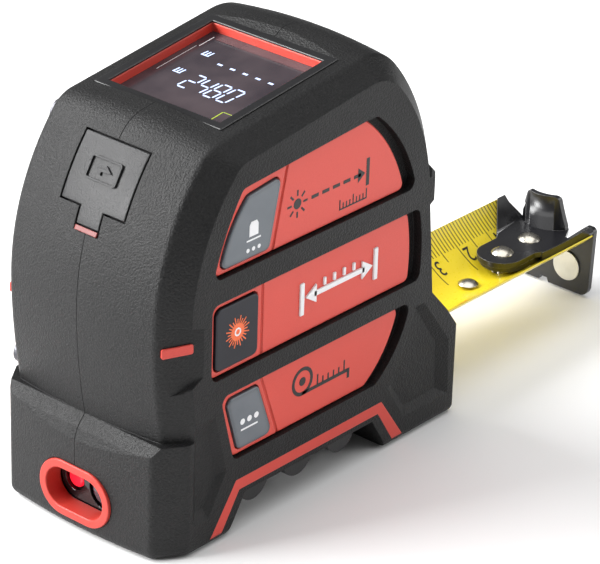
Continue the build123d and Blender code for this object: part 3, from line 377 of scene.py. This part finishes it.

# each look's edge colour goes on crisp edges: partly rubbed wear, partly a painted highlight
metalLooks = {
    "nickel": {"colour": (0.56, 0.53, 0.47), "stain": (0.46, 0.43, 0.37), "edge": (0.80, 0.78, 0.73),
               "roughness": (0.24, 0.34), "stretch": 1.0, "lineScale": 1500},
    "magnetPlate": {"colour": (0.66, 0.65, 0.60), "stain": (0.58, 0.57, 0.52), "edge": (0.85, 0.84, 0.8),
                    "roughness": (0.30, 0.42), "stretch": 1.0, "lineScale": 2500},
    "springSteel": {"colour": (0.35, 0.37, 0.42), "stain": (0.24, 0.25, 0.30), "edge": (0.6, 0.6, 0.62),
                    "roughness": (0.22, 0.36), "lineScale": 5000},
    "clipSteel": {"colour": (0.30, 0.30, 0.31), "stain": (0.20, 0.20, 0.21), "edge": (0.62, 0.62, 0.64),
                  "roughness": (0.25, 0.38), "lineScale": 3500},
    "screwSteel": {"colour": (0.12, 0.12, 0.13), "stain": (0.07, 0.07, 0.08), "edge": (0.45, 0.45, 0.46),
                   "roughness": (0.28, 0.42), "stretch": 1.0, "lineScale": 2500},
}

for name, look in mouldedLooks.items():
    finishes[name] = moulded(name, look)
for name, look in metalLooks.items():
    finishes[name] = metal(name, look)


def makeSmokyButton():
    # smoky plastic over a dark cavity: darker towards its rim, with a painted highlight on its crisp edges
    material, tree, shader = newMaterial("smokyButton")
    grain = useGroup(tree, grainGroup, {"Grain Scale": 4000.0, "Patch Scale": 90.0})
    edge = useGroup(tree, edgeGroup, {"Radius": 0.0004, "Strength": 1.2})
    rim = useGroup(tree, edgeGroup, {"Radius": 0.0016, "Strength": 5.0})
    tone = addMix(tree, grain.outputs["Patch"], (0.090, 0.108, 0.128), (0.125, 0.143, 0.163))
    tone = addMix(tree, rim.outputs["Mask"], tone, (0.035, 0.042, 0.050))
    # a painted highlight on the button's crisp edges
    tone = addMix(tree, edge.outputs["Mask"], tone, (0.20, 0.23, 0.26))
    tree.links.new(tone, shader.inputs["Base Color"])
    tree.links.new(addRange(tree, grain.outputs["Patch"], 0.26, 0.36), shader.inputs["Roughness"])
    addBump(tree, shader, grain.outputs["Grain"], 0.000004, edge.outputs["Normal"])
    shader.inputs["Coat Weight"].default_value = 0.4
    shader.inputs["Coat Roughness"].default_value = 0.2
    return material


def makeDisplayGlass():
    # dark coated glass, a little purple, with a cloudy film under it and a painted highlight on its edges
    material, tree, shader = newMaterial("displayGlass")
    grain = useGroup(tree, grainGroup, {"Grain Scale": 300.0, "Patch Scale": 70.0})
    edge = useGroup(tree, edgeGroup, {"Radius": 0.0002, "Strength": 1.0})
    tone = addMix(tree, grain.outputs["Patch"], (0.030, 0.024, 0.030), (0.062, 0.048, 0.054))
    # a painted highlight on the glass's crisp edges
    tone = addMix(tree, edge.outputs["Mask"], tone, (0.12, 0.11, 0.12))
    tree.links.new(tone, shader.inputs["Base Color"])
    tree.links.new(addRange(tree, grain.outputs["Grain"], 0.07, 0.13), shader.inputs["Roughness"])
    tree.links.new(edge.outputs["Normal"], shader.inputs["Normal"])
    return material


def makeGlow(name, colour, strength, base):
    material, tree, shader = newMaterial(name)
    grain = useGroup(tree, grainGroup, {"Grain Scale": 3000.0, "Patch Scale": 400.0})
    tone = addMix(tree, grain.outputs["Patch"], colour, tuple(0.8 * c for c in colour))
    tree.links.new(tone, shader.inputs["Emission Color"])
    shader.inputs["Emission Strength"].default_value = strength
    tree.links.new(addMix(tree, grain.outputs["Grain"], base, tuple(0.8 * c for c in base)),
                   shader.inputs["Base Color"])
    shader.inputs["Roughness"].default_value = 0.2
    return material


def makeLens(name, dark, light):
    # a coated lens: dark glass with a broad coloured sheen
    material, tree, shader = newMaterial(name)
    grain = useGroup(tree, grainGroup, {"Grain Scale": 800.0, "Patch Scale": 300.0})
    tree.links.new(addMix(tree, grain.outputs["Patch"], dark, light), shader.inputs["Base Color"])
    tree.links.new(addRange(tree, grain.outputs["Grain"], 0.03, 0.08), shader.inputs["Roughness"])
    shader.inputs["Coat Weight"].default_value = 1.0
    shader.inputs["Coat Roughness"].default_value = 0.02
    return material


finishes["smokyButton"] = makeSmokyButton()
finishes["displayGlass"] = makeDisplayGlass()
finishes["digitGlow"] = makeGlow("digitGlow", (0.52, 0.64, 1.0), 1.05, (0.4, 0.48, 0.7))
finishes["filmGlow"] = makeGlow("filmGlow", (0.50, 0.62, 0.05), 0.5, (0.3, 0.4, 0.05))
finishes["emitterGlow"] = makeGlow("emitterGlow", (0.90, 0.012, 0.03), 1.3, (0.5, 0.01, 0.02))
finishes["darkLens"] = makeLens("darkLens", (0.006, 0.006, 0.008), (0.02, 0.016, 0.03))

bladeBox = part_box("blade")
printLook = {
    "zero": 0.1355,  # inner face of the hook
    "line": 0.25 * mm,
    "short": 4.3 * mm,
    "half": 6.0 * mm,
    "long": 10.2 * mm,
}


def makeBladePaint():
    # yellow enamel with a millimetre scale printed from its far edge
    material, tree, shader = newMaterial("bladePaint")
    grain = useGroup(tree, grainGroup, {"Grain Scale": 1500.0, "Patch Scale": 60.0})
    edge = useGroup(tree, edgeGroup, {"Radius": 0.00015, "Strength": 1.0})
    coords = tree.nodes.new("ShaderNodeTexCoord").outputs["Object"]
    split = tree.nodes.new("ShaderNodeSeparateXYZ")
    tree.links.new(coords, split.inputs[0])
    along = addMath(tree, "SUBTRACT", printLook["zero"], split.outputs["X"])
    inward = addMath(tree, "SUBTRACT", bladeBox[1].y, split.outputs["Y"])

    def ruled(pitch, length):
        # lines at every pitch, from the far edge inwards to length
        turns = addMath(tree, "DIVIDE", along, pitch)
        away = addMath(tree, "PINGPONG", turns, 0.5)
        thin = addMath(tree, "LESS_THAN", away, printLook["line"] / pitch / 2)
        near = addMath(tree, "LESS_THAN", inward, length)
        return addMath(tree, "MULTIPLY", thin, near)

    marks = ruled(1 * mm, printLook["short"])
    marks = addMath(tree, "MAXIMUM", marks, ruled(5 * mm, printLook["half"]))
    marks = addMath(tree, "MAXIMUM", marks, ruled(10 * mm, printLook["long"]))
    yellow = addMix(tree, grain.outputs["Patch"], (0.78, 0.60, 0.020), (0.82, 0.66, 0.028))
    yellow = addMix(tree, edge.outputs["Mask"], yellow, (0.55, 0.50, 0.2))
    tree.links.new(addMix(tree, marks, yellow, (0.012, 0.011, 0.008)), shader.inputs["Base Color"])
    tree.links.new(addRange(tree, grain.outputs["Grain"], 0.26, 0.36), shader.inputs["Roughness"])
    addBump(tree, shader, grain.outputs["Grain"], 0.000003, edge.outputs["Normal"])
    shader.inputs["Coat Weight"].default_value = 0.5
    shader.inputs["Coat Roughness"].default_value = 0.25
    return material


finishes["bladePaint"] = makeBladePaint()
print("finishes are mixed")


# mesh helpers

crispAngle = 35  # edges sharper than this, in degrees, are rounded
creaseAngle = 38  # edges sharper than this stay sharp in the shading


def finishPiece(bm, name, body, finish, smooth=True):
    # bm becomes a piece that rides on body
    mesh = bpy.data.meshes.new(name)
    bm.to_mesh(mesh)
    bm.free()
    piece = bpy.data.objects.new(name, mesh)
    bpy.context.scene.collection.objects.link(piece)
    mesh.materials.append(finishes[finish])
    if smooth:
        mesh.shade_smooth()
        mesh.set_sharp_from_angle(angle=radians(creaseAngle))
        even = piece.modifiers.new("evenNormals", "WEIGHTED_NORMAL")
        even.keep_sharp = True
        even.weight = 80
    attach(piece, body)
    return piece


def mergedCopy(node):
    bm = bmesh.new()
    bm.from_mesh(nodes[node].data)
    bmesh.ops.remove_doubles(bm, verts=bm.verts, dist=weld)
    bmesh.ops.dissolve_limit(bm, angle_limit=radians(0.3), verts=bm.verts, edges=bm.edges)
    bmesh.ops.recalc_face_normals(bm, faces=bm.faces)
    return bm


def soften(bm, width):
    # rounds the crisp edges of bm
    crisp = []
    for edge in bm.edges:
        if len(edge.link_faces) == 2 and edge.calc_face_angle(0) >= radians(crispAngle):
            crisp.append(edge)
    bmesh.ops.bevel(bm, geom=crisp, offset=width, offset_type="OFFSET", segments=2,
                    profile=0.5, affect="EDGES", clamp_overlap=True, material=-1)


def dressCopy(node, name, body, finish, width=0.0):
    # a finished copy of a CAD node, with its crisp edges rounded by width
    bm = mergedCopy(node)
    if width:
        soften(bm, width)
    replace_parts(finishPiece(bm, name, body, finish), node)


# case

for node in ("button_side_shell", "clip_side_shell"):
    nodes[node].data.materials.clear()
    nodes[node].data.materials.append(finishes["blackOvermould"])
dressCopy("finger_grip", "fingerGrip", "case", "ribRubber")
for side in ("side", "far"):
    for level in ("upper", "middle", "lower"):
        dressCopy(f"{side}_panel_{level}", f"{side}Panel{level.title()}", "case", "redPlastic",
                  0.3 * mm)
dressCopy("foot_stripes", "footStripes", "case", "redRubber")
dressCopy("corner_accents", "cornerAccents", "case", "redRubber")
dressCopy("laser_bezel", "laserBezel", "case", "bezelPlastic", 0.25 * mm)
dressCopy("display_rim", "displayRim", "case", "blackPlastic", 0.15 * mm)
dressCopy("display_trim", "displayTrim", "case", "redPlastic")
dressCopy("display_window", "displayWindow", "case", "displayGlass")
dressCopy("mouth_guide", "mouthGuide", "case", "blackPlastic")
dressCopy("emitter_lens", "emitterLens", "case", "emitterGlow")
dressCopy("receiver_lens", "receiverLens", "case", "darkLens")
dressCopy("charging_flap", "chargingFlap", "flap", "flapRubber", 0.2 * mm)
dressCopy("button_units", "unitsButton", "units_button", "smokyButton", 0.35 * mm)
dressCopy("button_measure", "measureButton", "measure_button", "navyButton", 0.35 * mm)
dressCopy("button_func", "funcButton", "func_button", "smokyButton", 0.35 * mm)
dressCopy("belt_clip", "beltClip", "case", "clipSteel")
dressCopy("clip_screw", "clipScrew", "case", "screwSteel")
dressCopy("case_screws", "caseScrews", "case", "screwSteel")
dressCopy("lock_button", "lockButton", "lock", "blackPlastic", 0.2 * mm)
print("case pieces are dressed")

# blade and hook

dressCopy("blade", "bladeStrip", "blade", "bladePaint")
dressCopy("stop_rivet", "stopRivet", "blade", "nickel")
dressCopy("hook", "hookTongue", "hook", "hookPaint")
dressCopy("hook_claw", "hookClaw", "hook", "hookPaint")
dressCopy("hook_rivets", "hookRivets", "hook", "nickel")
dressCopy("hook_magnets", "hookMagnets", "hook", "magnetPlate")
print("blade and hook are dressed")

innerFinishes = {
    "laser_module": "smokyPlastic", "lcd_module": "blackPlastic", "usb_port": "nickel",
    "charging_board": "greenBoard", "main_board": "greenBoard", "board_chips": "chipPlastic",
    "tact_switches": "chipPlastic", "battery": "batteryWrap", "centre_post": "screwSteel",
    "reel_drum": "blackPlastic", "reel_cap": "blackPlastic", "tape_coil": "bladePaint",
    "power_spring": "springSteel", "plunger_units": "blackPlastic", "plunger_measure": "blackPlastic",
    "plunger_func": "blackPlastic", "lock_wedge": "blackPlastic",
}
for node, finish in innerFinishes.items():
    nodes[node].data.materials.clear()
    nodes[node].data.materials.append(finishes[finish])
print("inner parts are dressed")

# flat drawings: small closed shapes laid on a face

def flatBar(bm, x, y, width, height, turn=0.0):
    # a flat bar centred at x, y
    made = bmesh.ops.create_grid(bm, x_segments=1, y_segments=1, size=0.5)["verts"]
    bmesh.ops.scale(bm, verts=made, vec=(width, height, 1))
    bmesh.ops.rotate(bm, verts=made, cent=(0, 0, 0), matrix=Matrix.Rotation(radians(turn), 3, "Z"))
    bmesh.ops.translate(bm, verts=made, vec=(x, y, 0))


def flatDisc(bm, x, y, radius, sides=32):
    made = bmesh.ops.create_circle(bm, cap_ends=True, segments=sides, radius=radius)["verts"]
    bmesh.ops.translate(bm, verts=made, vec=(x, y, 0))
    return made


def flatRing(bm, x, y, radius, width, sides=40):
    # a ring made by insetting a disc and deleting its middle
    made = flatDisc(bm, x, y, radius, sides)
    face = made[0].link_faces[0]
    bmesh.ops.inset_region(bm, faces=[face], thickness=width, use_even_offset=True, use_boundary=True)
    bmesh.ops.delete(bm, geom=[face], context="FACES")


def flatShape(bm, corners):
    # a flat face through a few corners
    made = [bm.verts.new((x, y, 0)) for x, y in corners]
    bm.faces.new(made)
    return made


def flatFrame(bm, corners, width):
    # the outline of a flat shape
    face = flatShape(bm, corners)[0].link_faces[0]
    bmesh.ops.inset_region(bm, faces=[face], thickness=width, use_even_offset=True, use_boundary=True)
    bmesh.ops.delete(bm, geom=[face], context="FACES")


def raiseMark(bm, name, body, finish, place, thickness, drapeOn=None, lift=0.0):
    # gives a flat drawing its thickness and lays it on a face, or over a curved node
    scaled = Matrix.Diagonal((mm, mm, mm, 1))
    bmesh.ops.recalc_face_normals(bm, faces=bm.faces)
    for face in bm.faces:
        if face.normal.z < 0:
            face.normal_flip()
    base = list(bm.faces)
    grown = bmesh.ops.extrude_face_region(bm, geom=base)
    top = [part for part in grown["geom"] if isinstance(part, bmesh.types.BMVert)]
    bmesh.ops.translate(bm, verts=top, vec=(0, 0, thickness))
    for face in base:
        face.normal_flip()
    bmesh.ops.transform(bm, matrix=place @ scaled, verts=bm.verts)
    if drapeOn is not None:
        under = bmesh.new()
        under.from_mesh(nodes[drapeOn].data)
        surface = BVHTree.FromBMesh(under)
        under.free()
        for vert in bm.verts:
            raised = vert.co.z - place.translation.z
            hit = surface.ray_cast(Vector((vert.co.x, vert.co.y, place.translation.z + 0.02)), -zAxis)[0]
            if hit is not None:
                vert.co.z = hit.z + lift + raised
    finishPiece(bm, name, body, finish, smooth=False)


def addText(bm, text, height, x, y):
    # plain numerals from the built-in typeface, as flat faces
    curve = bpy.data.curves.new("numeral", "FONT")
    curve.body = text
    curve.size = height / 0.7
    curve.align_x = "CENTER"
    curve.align_y = "CENTER"
    curve.resolution_u = 6
    letters = bpy.data.objects.new("numeral", curve)
    mesh = bpy.data.meshes.new_from_object(letters)
    mesh.transform(Matrix.Translation((x, y, 0)))
    bm.from_mesh(mesh)
    bpy.data.objects.remove(letters)
    bpy.data.curves.remove(curve)
    bpy.data.meshes.remove(mesh)


# display: digits, dashes and the printed film

displayLook = {
    "slope": 7.4,
    "digitHeight": 5.2,
    "digitWidth": 2.1,
    "digitPitch": 3.19,
    "segment": 0.36,
    "lean": 0.14,
    "reading": "2480",
    "firstDigit": (-3.5, -3.0),  # across, then up the slope, from the window's middle
    "segmentGap": 0.22,
    "bow": 0.08,  # the upright strokes stand this much outside the level ones
    "dashes": 5,
    "firstDash": (-3.6, 4.8),
    "dashPitch": 3.15,
    "dash": (1.15, 0.5),
    "unitMarks": ((-8.4, 6.8), (-8.4, -1.0)),
    "thickness": 0.03,
}
# printed film round the window's edge: x, y, width, height
filmBars = (
    (9.0, -10.4, 0.22, 4.2), (11.8, -10.2, 0.3, 4.6), (10.4, -8.2, 2.6, 0.12),
    (-9.2, -12.6, 1.5, 0.5), (-5.4, -12.6, 1.6, 0.4), (-3.6, -12.4, 0.5, 0.8),
)
edgeLines = ((-12.4, 2.4, 0.10, 11.0), (-11.9, 10.2, 0.16, 4.2))
segmentsOf = {
    "0": "abcdef", "1": "bc", "2": "abged", "3": "abgcd", "4": "fgbc",
    "5": "afgcd", "6": "afgedc", "7": "abc", "8": "abcdefg", "9": "abcdfg",
}


def displayPlace():
    # the middle of the window's outer face, drawn up the slope
    slope = radians(displayLook["slope"])
    up = Vector((cos(slope), 0, sin(slope)))
    out = Vector((-sin(slope), 0, cos(slope)))
    top = max(corner.co.dot(out) for corner in nodes["display_window"].data.vertices)
    along = sum(corner.dot(up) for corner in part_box("display_window")) / 2
    spot = up * along + out * (top + 0.01 * mm)
    return placed(spot, -yAxis, up)


def addSegment(bm, x, y, length, width, upright):
    # one stroke of a digit: a six-sided bar with pointed ends
    half = length / 2
    end = half - width / 2
    across = width / 2
    corners = [(-half, 0), (-end, -across), (end, -across), (half, 0), (end, across), (-end, across)]
    if upright:
        corners = [(-b, a) for a, b in corners]
    flatShape(bm, [(x + a, y + b) for a, b in corners])


def makeReading():
    look = displayLook
    bm = bmesh.new()
    wide, tall = look["digitWidth"], look["digitHeight"]
    half = tall / 2
    stroke = look["segment"]
    side = wide / 2 + look["bow"]
    reach = half - 2 * look["bow"]
    places = {
        "a": (0, half, wide, False), "g": (0, 0, wide, False), "d": (0, -half, wide, False),
        "f": (-side, half / 2, reach, True), "b": (side, half / 2, reach, True),
        "e": (-side, -half / 2, reach, True), "c": (side, -half / 2, reach, True),
    }
    for index, digit in enumerate(look["reading"]):
        start = len(bm.verts)
        for stripe in segmentsOf[digit]:
            x, y, length, upright = places[stripe]
            addSegment(bm, x, y, length - look["segmentGap"], stroke, upright)
        bm.verts.ensure_lookup_table()
        made = bm.verts[start:]
        for vert in made:
            vert.co.x += vert.co.y * look["lean"]
        spot = (look["firstDigit"][0] + index * look["digitPitch"], look["firstDigit"][1], 0)
        bmesh.ops.translate(bm, verts=made, vec=spot)
    for index in range(look["dashes"]):
        x = look["firstDash"][0] + index * look["dashPitch"]
        flatBar(bm, x, look["firstDash"][1], *look["dash"])
    for x, y in look["unitMarks"]:  # three slanted strokes over a foot
        for step in (-0.75, 0, 0.75):
            flatBar(bm, x + step, y, 0.3, 1.5, -8)
        flatBar(bm, x - 0.1, y - 0.85, 1.9, 0.25)
    raiseMark(bm, "displayReading", "case", "digitGlow", displayPlace(), look["thickness"])

    film = bmesh.new()
    for bar in filmBars:
        flatBar(film, *bar)
    raiseMark(film, "displayFilm", "case", "filmGlow", displayPlace(), look["thickness"])

    lines = bmesh.new()
    for bar in edgeLines:
        flatBar(lines, *bar)
    raiseMark(lines, "displayEdgeLines", "case", "whitePrint", displayPlace(),
              look["thickness"])


makeReading()
print("display is drawn")


# symbols on the panels and buttons

def sidePlace(node, x, z, lift=0.0):
    # a drawing's place on the button side's face of a node
    face = min(corner.co.y for corner in nodes[node].data.vertices)
    return placed(Vector((x, face - lift, z)), xAxis, zAxis)


def farPlace(node, x, z, lift=0.0):
    face = max(corner.co.y for corner in nodes[node].data.vertices)
    return placed(Vector((x, face + lift, z)), -xAxis, zAxis)


laserSymbol = {
    "spark": -11.5,
    "sparkRadius": 1.05,
    "rays": 8,
    "rayPlace": 2.2,
    "ray": (1.2, 0.42),
    "dashes": 5,
    "firstDash": -6.6,
    "dashPitch": 3.0,
    "dash": (2.0, 0.7),
    "target": 8.4,
    "targetSize": (0.9, 5.6),
    "head": [(5.6, -1.5), (7.6, 0), (5.6, 1.5)],
    "ticks": 9,
    "firstTick": 0.6,
    "tickPitch": 0.95,
    "tickFoot": -5.2,
    "line": 0.3,
}


def drawLaserSymbol():
    # a spark, a beam and the target that it measures to, with a short scale under it
    look = laserSymbol
    bm = bmesh.new()
    flatDisc(bm, look["spark"], 0, look["sparkRadius"])
    for index in range(look["rays"]):
        angle = index * 360 / look["rays"]
        x = look["spark"] + look["rayPlace"] * cos(radians(angle))
        y = look["rayPlace"] * sin(radians(angle))
        flatBar(bm, x, y, *look["ray"], angle)
    for index in range(look["dashes"]):
        flatBar(bm, look["firstDash"] + index * look["dashPitch"], 0, *look["dash"])
    flatBar(bm, look["target"], 0, *look["targetSize"])
    flatShape(bm, look["head"])
    for index in range(look["ticks"]):
        tall = 1.9 if index % 4 == 0 else 1.1
        x = look["firstTick"] + index * look["tickPitch"]
        flatBar(bm, x, look["tickFoot"] + tall / 2, look["line"], tall)
    flatBar(bm, 4.4, look["tickFoot"] - 0.1, 7.9, look["line"])
    return bm


tapeSymbol = {
    "roll": (-6.0, 0.6),
    "rollRadius": 3.0,
    "hubRadius": 0.9,
    "line": 0.75,
    "tape": (0.6, -2.0, 13.2),
    "hook": (7.4, -2.7, 0.7, 2.1),
    "ticks": 6,
    "firstTick": -1.6,
    "tickPitch": 1.55,
    "tickFoot": -1.7,
    "tickWidth": 0.38,
}


def drawTapeSymbol():
    # a wound tape with its end pulled out
    look = tapeSymbol
    bm = bmesh.new()
    flatRing(bm, *look["roll"], look["rollRadius"], look["line"])
    flatDisc(bm, *look["roll"], look["hubRadius"])
    flatBar(bm, *look["tape"], look["line"])
    flatBar(bm, *look["hook"])
    for index in range(look["ticks"]):
        tall = 2.2 if index % 5 == 0 else 1.3
        x = look["firstTick"] + index * look["tickPitch"]
        flatBar(bm, x, look["tickFoot"] + tall / 2, look["tickWidth"], tall)
    return bm


spanSymbol = {
    "mark": 10.6,  # from the middle to each end mark
    "markHeight": 6.6,
    "line": 1.0,
    "shaft": 14.4,
    "tip": 9.6,
    "barb": (6.6, 1.9),
    "ticks": (-4.2, -1.4, 1.4, 4.2),
    "tick": (1.65, 0.6, 1.5),
}


def drawSpanSymbol():
    # a double arrow between two marks
    look = spanSymbol
    bm = bmesh.new()
    for way in (-1, 1):
        flatBar(bm, way * look["mark"], 0, look["line"], look["markHeight"])
    flatBar(bm, 0, 0, look["shaft"], look["line"])
    reach, spread = look["barb"]
    for way in (-1, 1):
        flatShape(bm, [(way * look["tip"], 0), (way * reach, way * spread), (way * reach, -way * spread)])
    for x in look["ticks"]:
        flatBar(bm, x, *look["tick"])
    return bm


printDepth = 0.04
raisedDepth = 0.35
printLift = 0.005 * mm
ringLift = 0.05 * mm  # the ring lies over the spark

# each panel's symbol: piece name, drawing, finish, thickness, and its place along and up
panelMarks = {
    "upper": ("LaserSymbol", drawLaserSymbol, "blackPrint", printDepth, 38.5, 62.5),
    "middle": ("SpanSymbol", drawSpanSymbol, "whitePrint", raisedDepth, 39.5, 42.3),
    "lower": ("TapeSymbol", drawTapeSymbol, "blackPrint", printDepth, 36.0, 24.0),
}
farShift = -1.5  # the far side's symbols stand clear of the belt clip's screw


def drawPanels():
    for place, side, shift in ((sidePlace, "side", 0), (farPlace, "far", farShift)):
        for level, (name, draw, finish, thickness, x, z) in panelMarks.items():
            raiseMark(draw(), f"{side}{name}", "case", finish,
                      place(f"{side}_panel_{level}", (x + shift) * mm, z * mm, printLift), thickness)


unitsMark = {
    "place": (14.6 * mm, 60.6 * mm),
    "block": [(-1.2, 0), (1.2, 0), (1.2, 2.2), (0.75, 2.9), (-0.75, 2.9), (-1.2, 2.2)],
    "line": (0, -0.7, 3.8, 0.32),
    "dots": (-1.5, 0, 1.5),
    "dotDrop": -2.6,
    "dotRadius": 0.42,
}
funcMark = {
    "place": (14.6 * mm, 23.1 * mm),
    "dots": (-1.9, 0, 1.9),
    "dotRadius": 0.62,
    "line": (0, -1.7, 4.6, 0.35),
}
sparkMark = {
    "place": (10.8 * mm, 42.5 * mm),
    "radius": 1.75,
    "rays": 24,
    "rayStart": 1.7,
    "longRay": 1.5,
    "shortRay": 0.95,
    "rayWidth": 0.24,
    "ringRadius": 0.85,
    "ringWidth": 0.32,
}


def drawUnitsMark():
    # a datum block on its line, with three dots
    look = unitsMark
    bm = bmesh.new()
    flatShape(bm, look["block"])
    flatBar(bm, *look["line"])
    for x in look["dots"]:
        flatDisc(bm, x, look["dotDrop"], look["dotRadius"], 20)
    raiseMark(bm, "unitsSymbol", "units_button", "whitePrint",
              sidePlace("button_units", *look["place"], printLift), printDepth)


def drawFuncMark():
    # three dots on a line
    look = funcMark
    bm = bmesh.new()
    for x in look["dots"]:
        flatDisc(bm, x, 0, look["dotRadius"], 24)
    flatBar(bm, *look["line"])
    raiseMark(bm, "funcSymbol", "func_button", "whitePrint",
              sidePlace("button_func", *look["place"], printLift), printDepth)


def drawSparkMark():
    # a spark of long and short rays, with a ring over its middle
    look = sparkMark
    bm = bmesh.new()
    flatDisc(bm, 0, 0, look["radius"], 40)
    for index in range(look["rays"]):
        angle = 360 * index / look["rays"]
        long = look["longRay"] if index % 2 else look["shortRay"]
        x = (look["rayStart"] + long / 2) * cos(radians(angle))
        y = (look["rayStart"] + long / 2) * sin(radians(angle))
        flatBar(bm, x, y, long, look["rayWidth"], angle)
    raiseMark(bm, "measureSpark", "measure_button", "orangePrint",
              sidePlace("button_measure", *look["place"], printLift), printDepth)
    bm = bmesh.new()
    flatRing(bm, 0, 0, look["ringRadius"], look["ringWidth"], 28)
    raiseMark(bm, "measureRing", "measure_button", "whitePrint",
              sidePlace("button_measure", *look["place"], ringLift), printDepth)


drawPanels()
drawUnitsMark()
drawFuncMark()
drawSparkMark()
print("panels and buttons are marked")


# blade print: numerals and a class mark

numeralLook = {
    "last": 4,  # the last centimetre that shows outside the case
    "height": 3.1,
    "beside": 1.7,  # from its own line towards the hook
    "inward": 6.3,  # from the blade's far edge
}


def drawBladePrint():
    top = bladeBox[1].z
    bm = bmesh.new()
    look = numeralLook
    for count in range(1, look["last"] + 1):
        x = printLook["zero"] / mm - 10 * count + look["beside"]
        y = bladeBox[1].y / mm - look["inward"]
        addText(bm, str(count), look["height"], -x, -y)
    bmesh.ops.remove_doubles(bm, verts=bm.verts, dist=0.001)
    raiseMark(bm, "bladeNumerals", "blade", "blackPrint",
              placed(Vector((0, 0, top)), -xAxis, -yAxis), 0.02, "blade", 0.03 * mm)

    bm = bmesh.new()
    flatFrame(bm, [(-3.4, 0), (0, -2.1), (3.4, 0), (0, 2.1)], 0.28)
    flatBar(bm, -0.9, 0, 0.3, 1.6)
    flatBar(bm, 0, 0, 0.3, 1.6)
    flatBar(bm, 0.9, 0, 0.3, 1.6)
    raiseMark(bm, "bladeClassMark", "blade", "orangePrint",
              placed(Vector((0.0985, -0.0068, top)), -xAxis, -yAxis), 0.02, "blade", 0.03 * mm)


drawBladePrint()
print("blade is printed")


# flap: raised battery sign

flapLook = {
    "angle": 149,  # where the flap's middle stands round the rear arc, in degrees
    "middle": Vector((-0.00143, 0, 0.07077)),
    "signLift": 0.6 * mm,
    "signDepth": 0.34,
    "lipDrop": 10.6 * mm,
    "lipSink": 1.4 * mm,
    "lipDepth": 0.35,
}


def flapPlace(rise, lift):
    # a drawing's place on the flap, moved up the face by rise and out of it by lift
    turn = radians(flapLook["angle"])
    out = Vector((cos(turn), 0, sin(turn)))
    up = Vector((sin(turn), 0, -cos(turn)))
    return placed(flapLook["middle"] + up * rise + out * lift, -yAxis, up)


def drawFlapSign():
    # a battery with a bolt inside
    bm = bmesh.new()
    face = flatShape(bm, [(-3.8, -2.3), (3.8, -2.3), (3.8, 2.3), (-3.8, 2.3)])[0].link_faces[0]
    bmesh.ops.bevel(bm, geom=list(face.verts), offset=0.6, offset_type="OFFSET", segments=4, profile=0.5,
                    affect="VERTICES", material=-1)
    bm.faces.ensure_lookup_table()
    face = bm.faces[0]
    bmesh.ops.inset_region(bm, faces=[face], thickness=0.38, use_even_offset=True, use_boundary=True)
    bmesh.ops.delete(bm, geom=[face], context="FACES")
    flatBar(bm, -4.15, 0, 0.7, 1.7)
    flatShape(bm, [(-1.9, 0.15), (0.45, 0.35), (0.35, 1.05), (2.0, -0.15), (-0.45, -0.35), (-0.35, -1.05)])
    raiseMark(bm, "flapBatterySign", "flap", "flapRubber",
              flapPlace(flapLook["signLift"], 0.02 * mm), flapLook["signDepth"])


def addFlapPull():
    # the red lip seen in the finger notch under the flap's tab
    bm = bmesh.new()
    flatBar(bm, 0, 0, 5.4, 0.9)
    raiseMark(bm, "flapPullLip", "case", "lipPlastic",
              flapPlace(-flapLook["lipDrop"], -flapLook["lipSink"]), flapLook["lipDepth"])


drawFlapSign()
addFlapPull()
print("flap is signed")
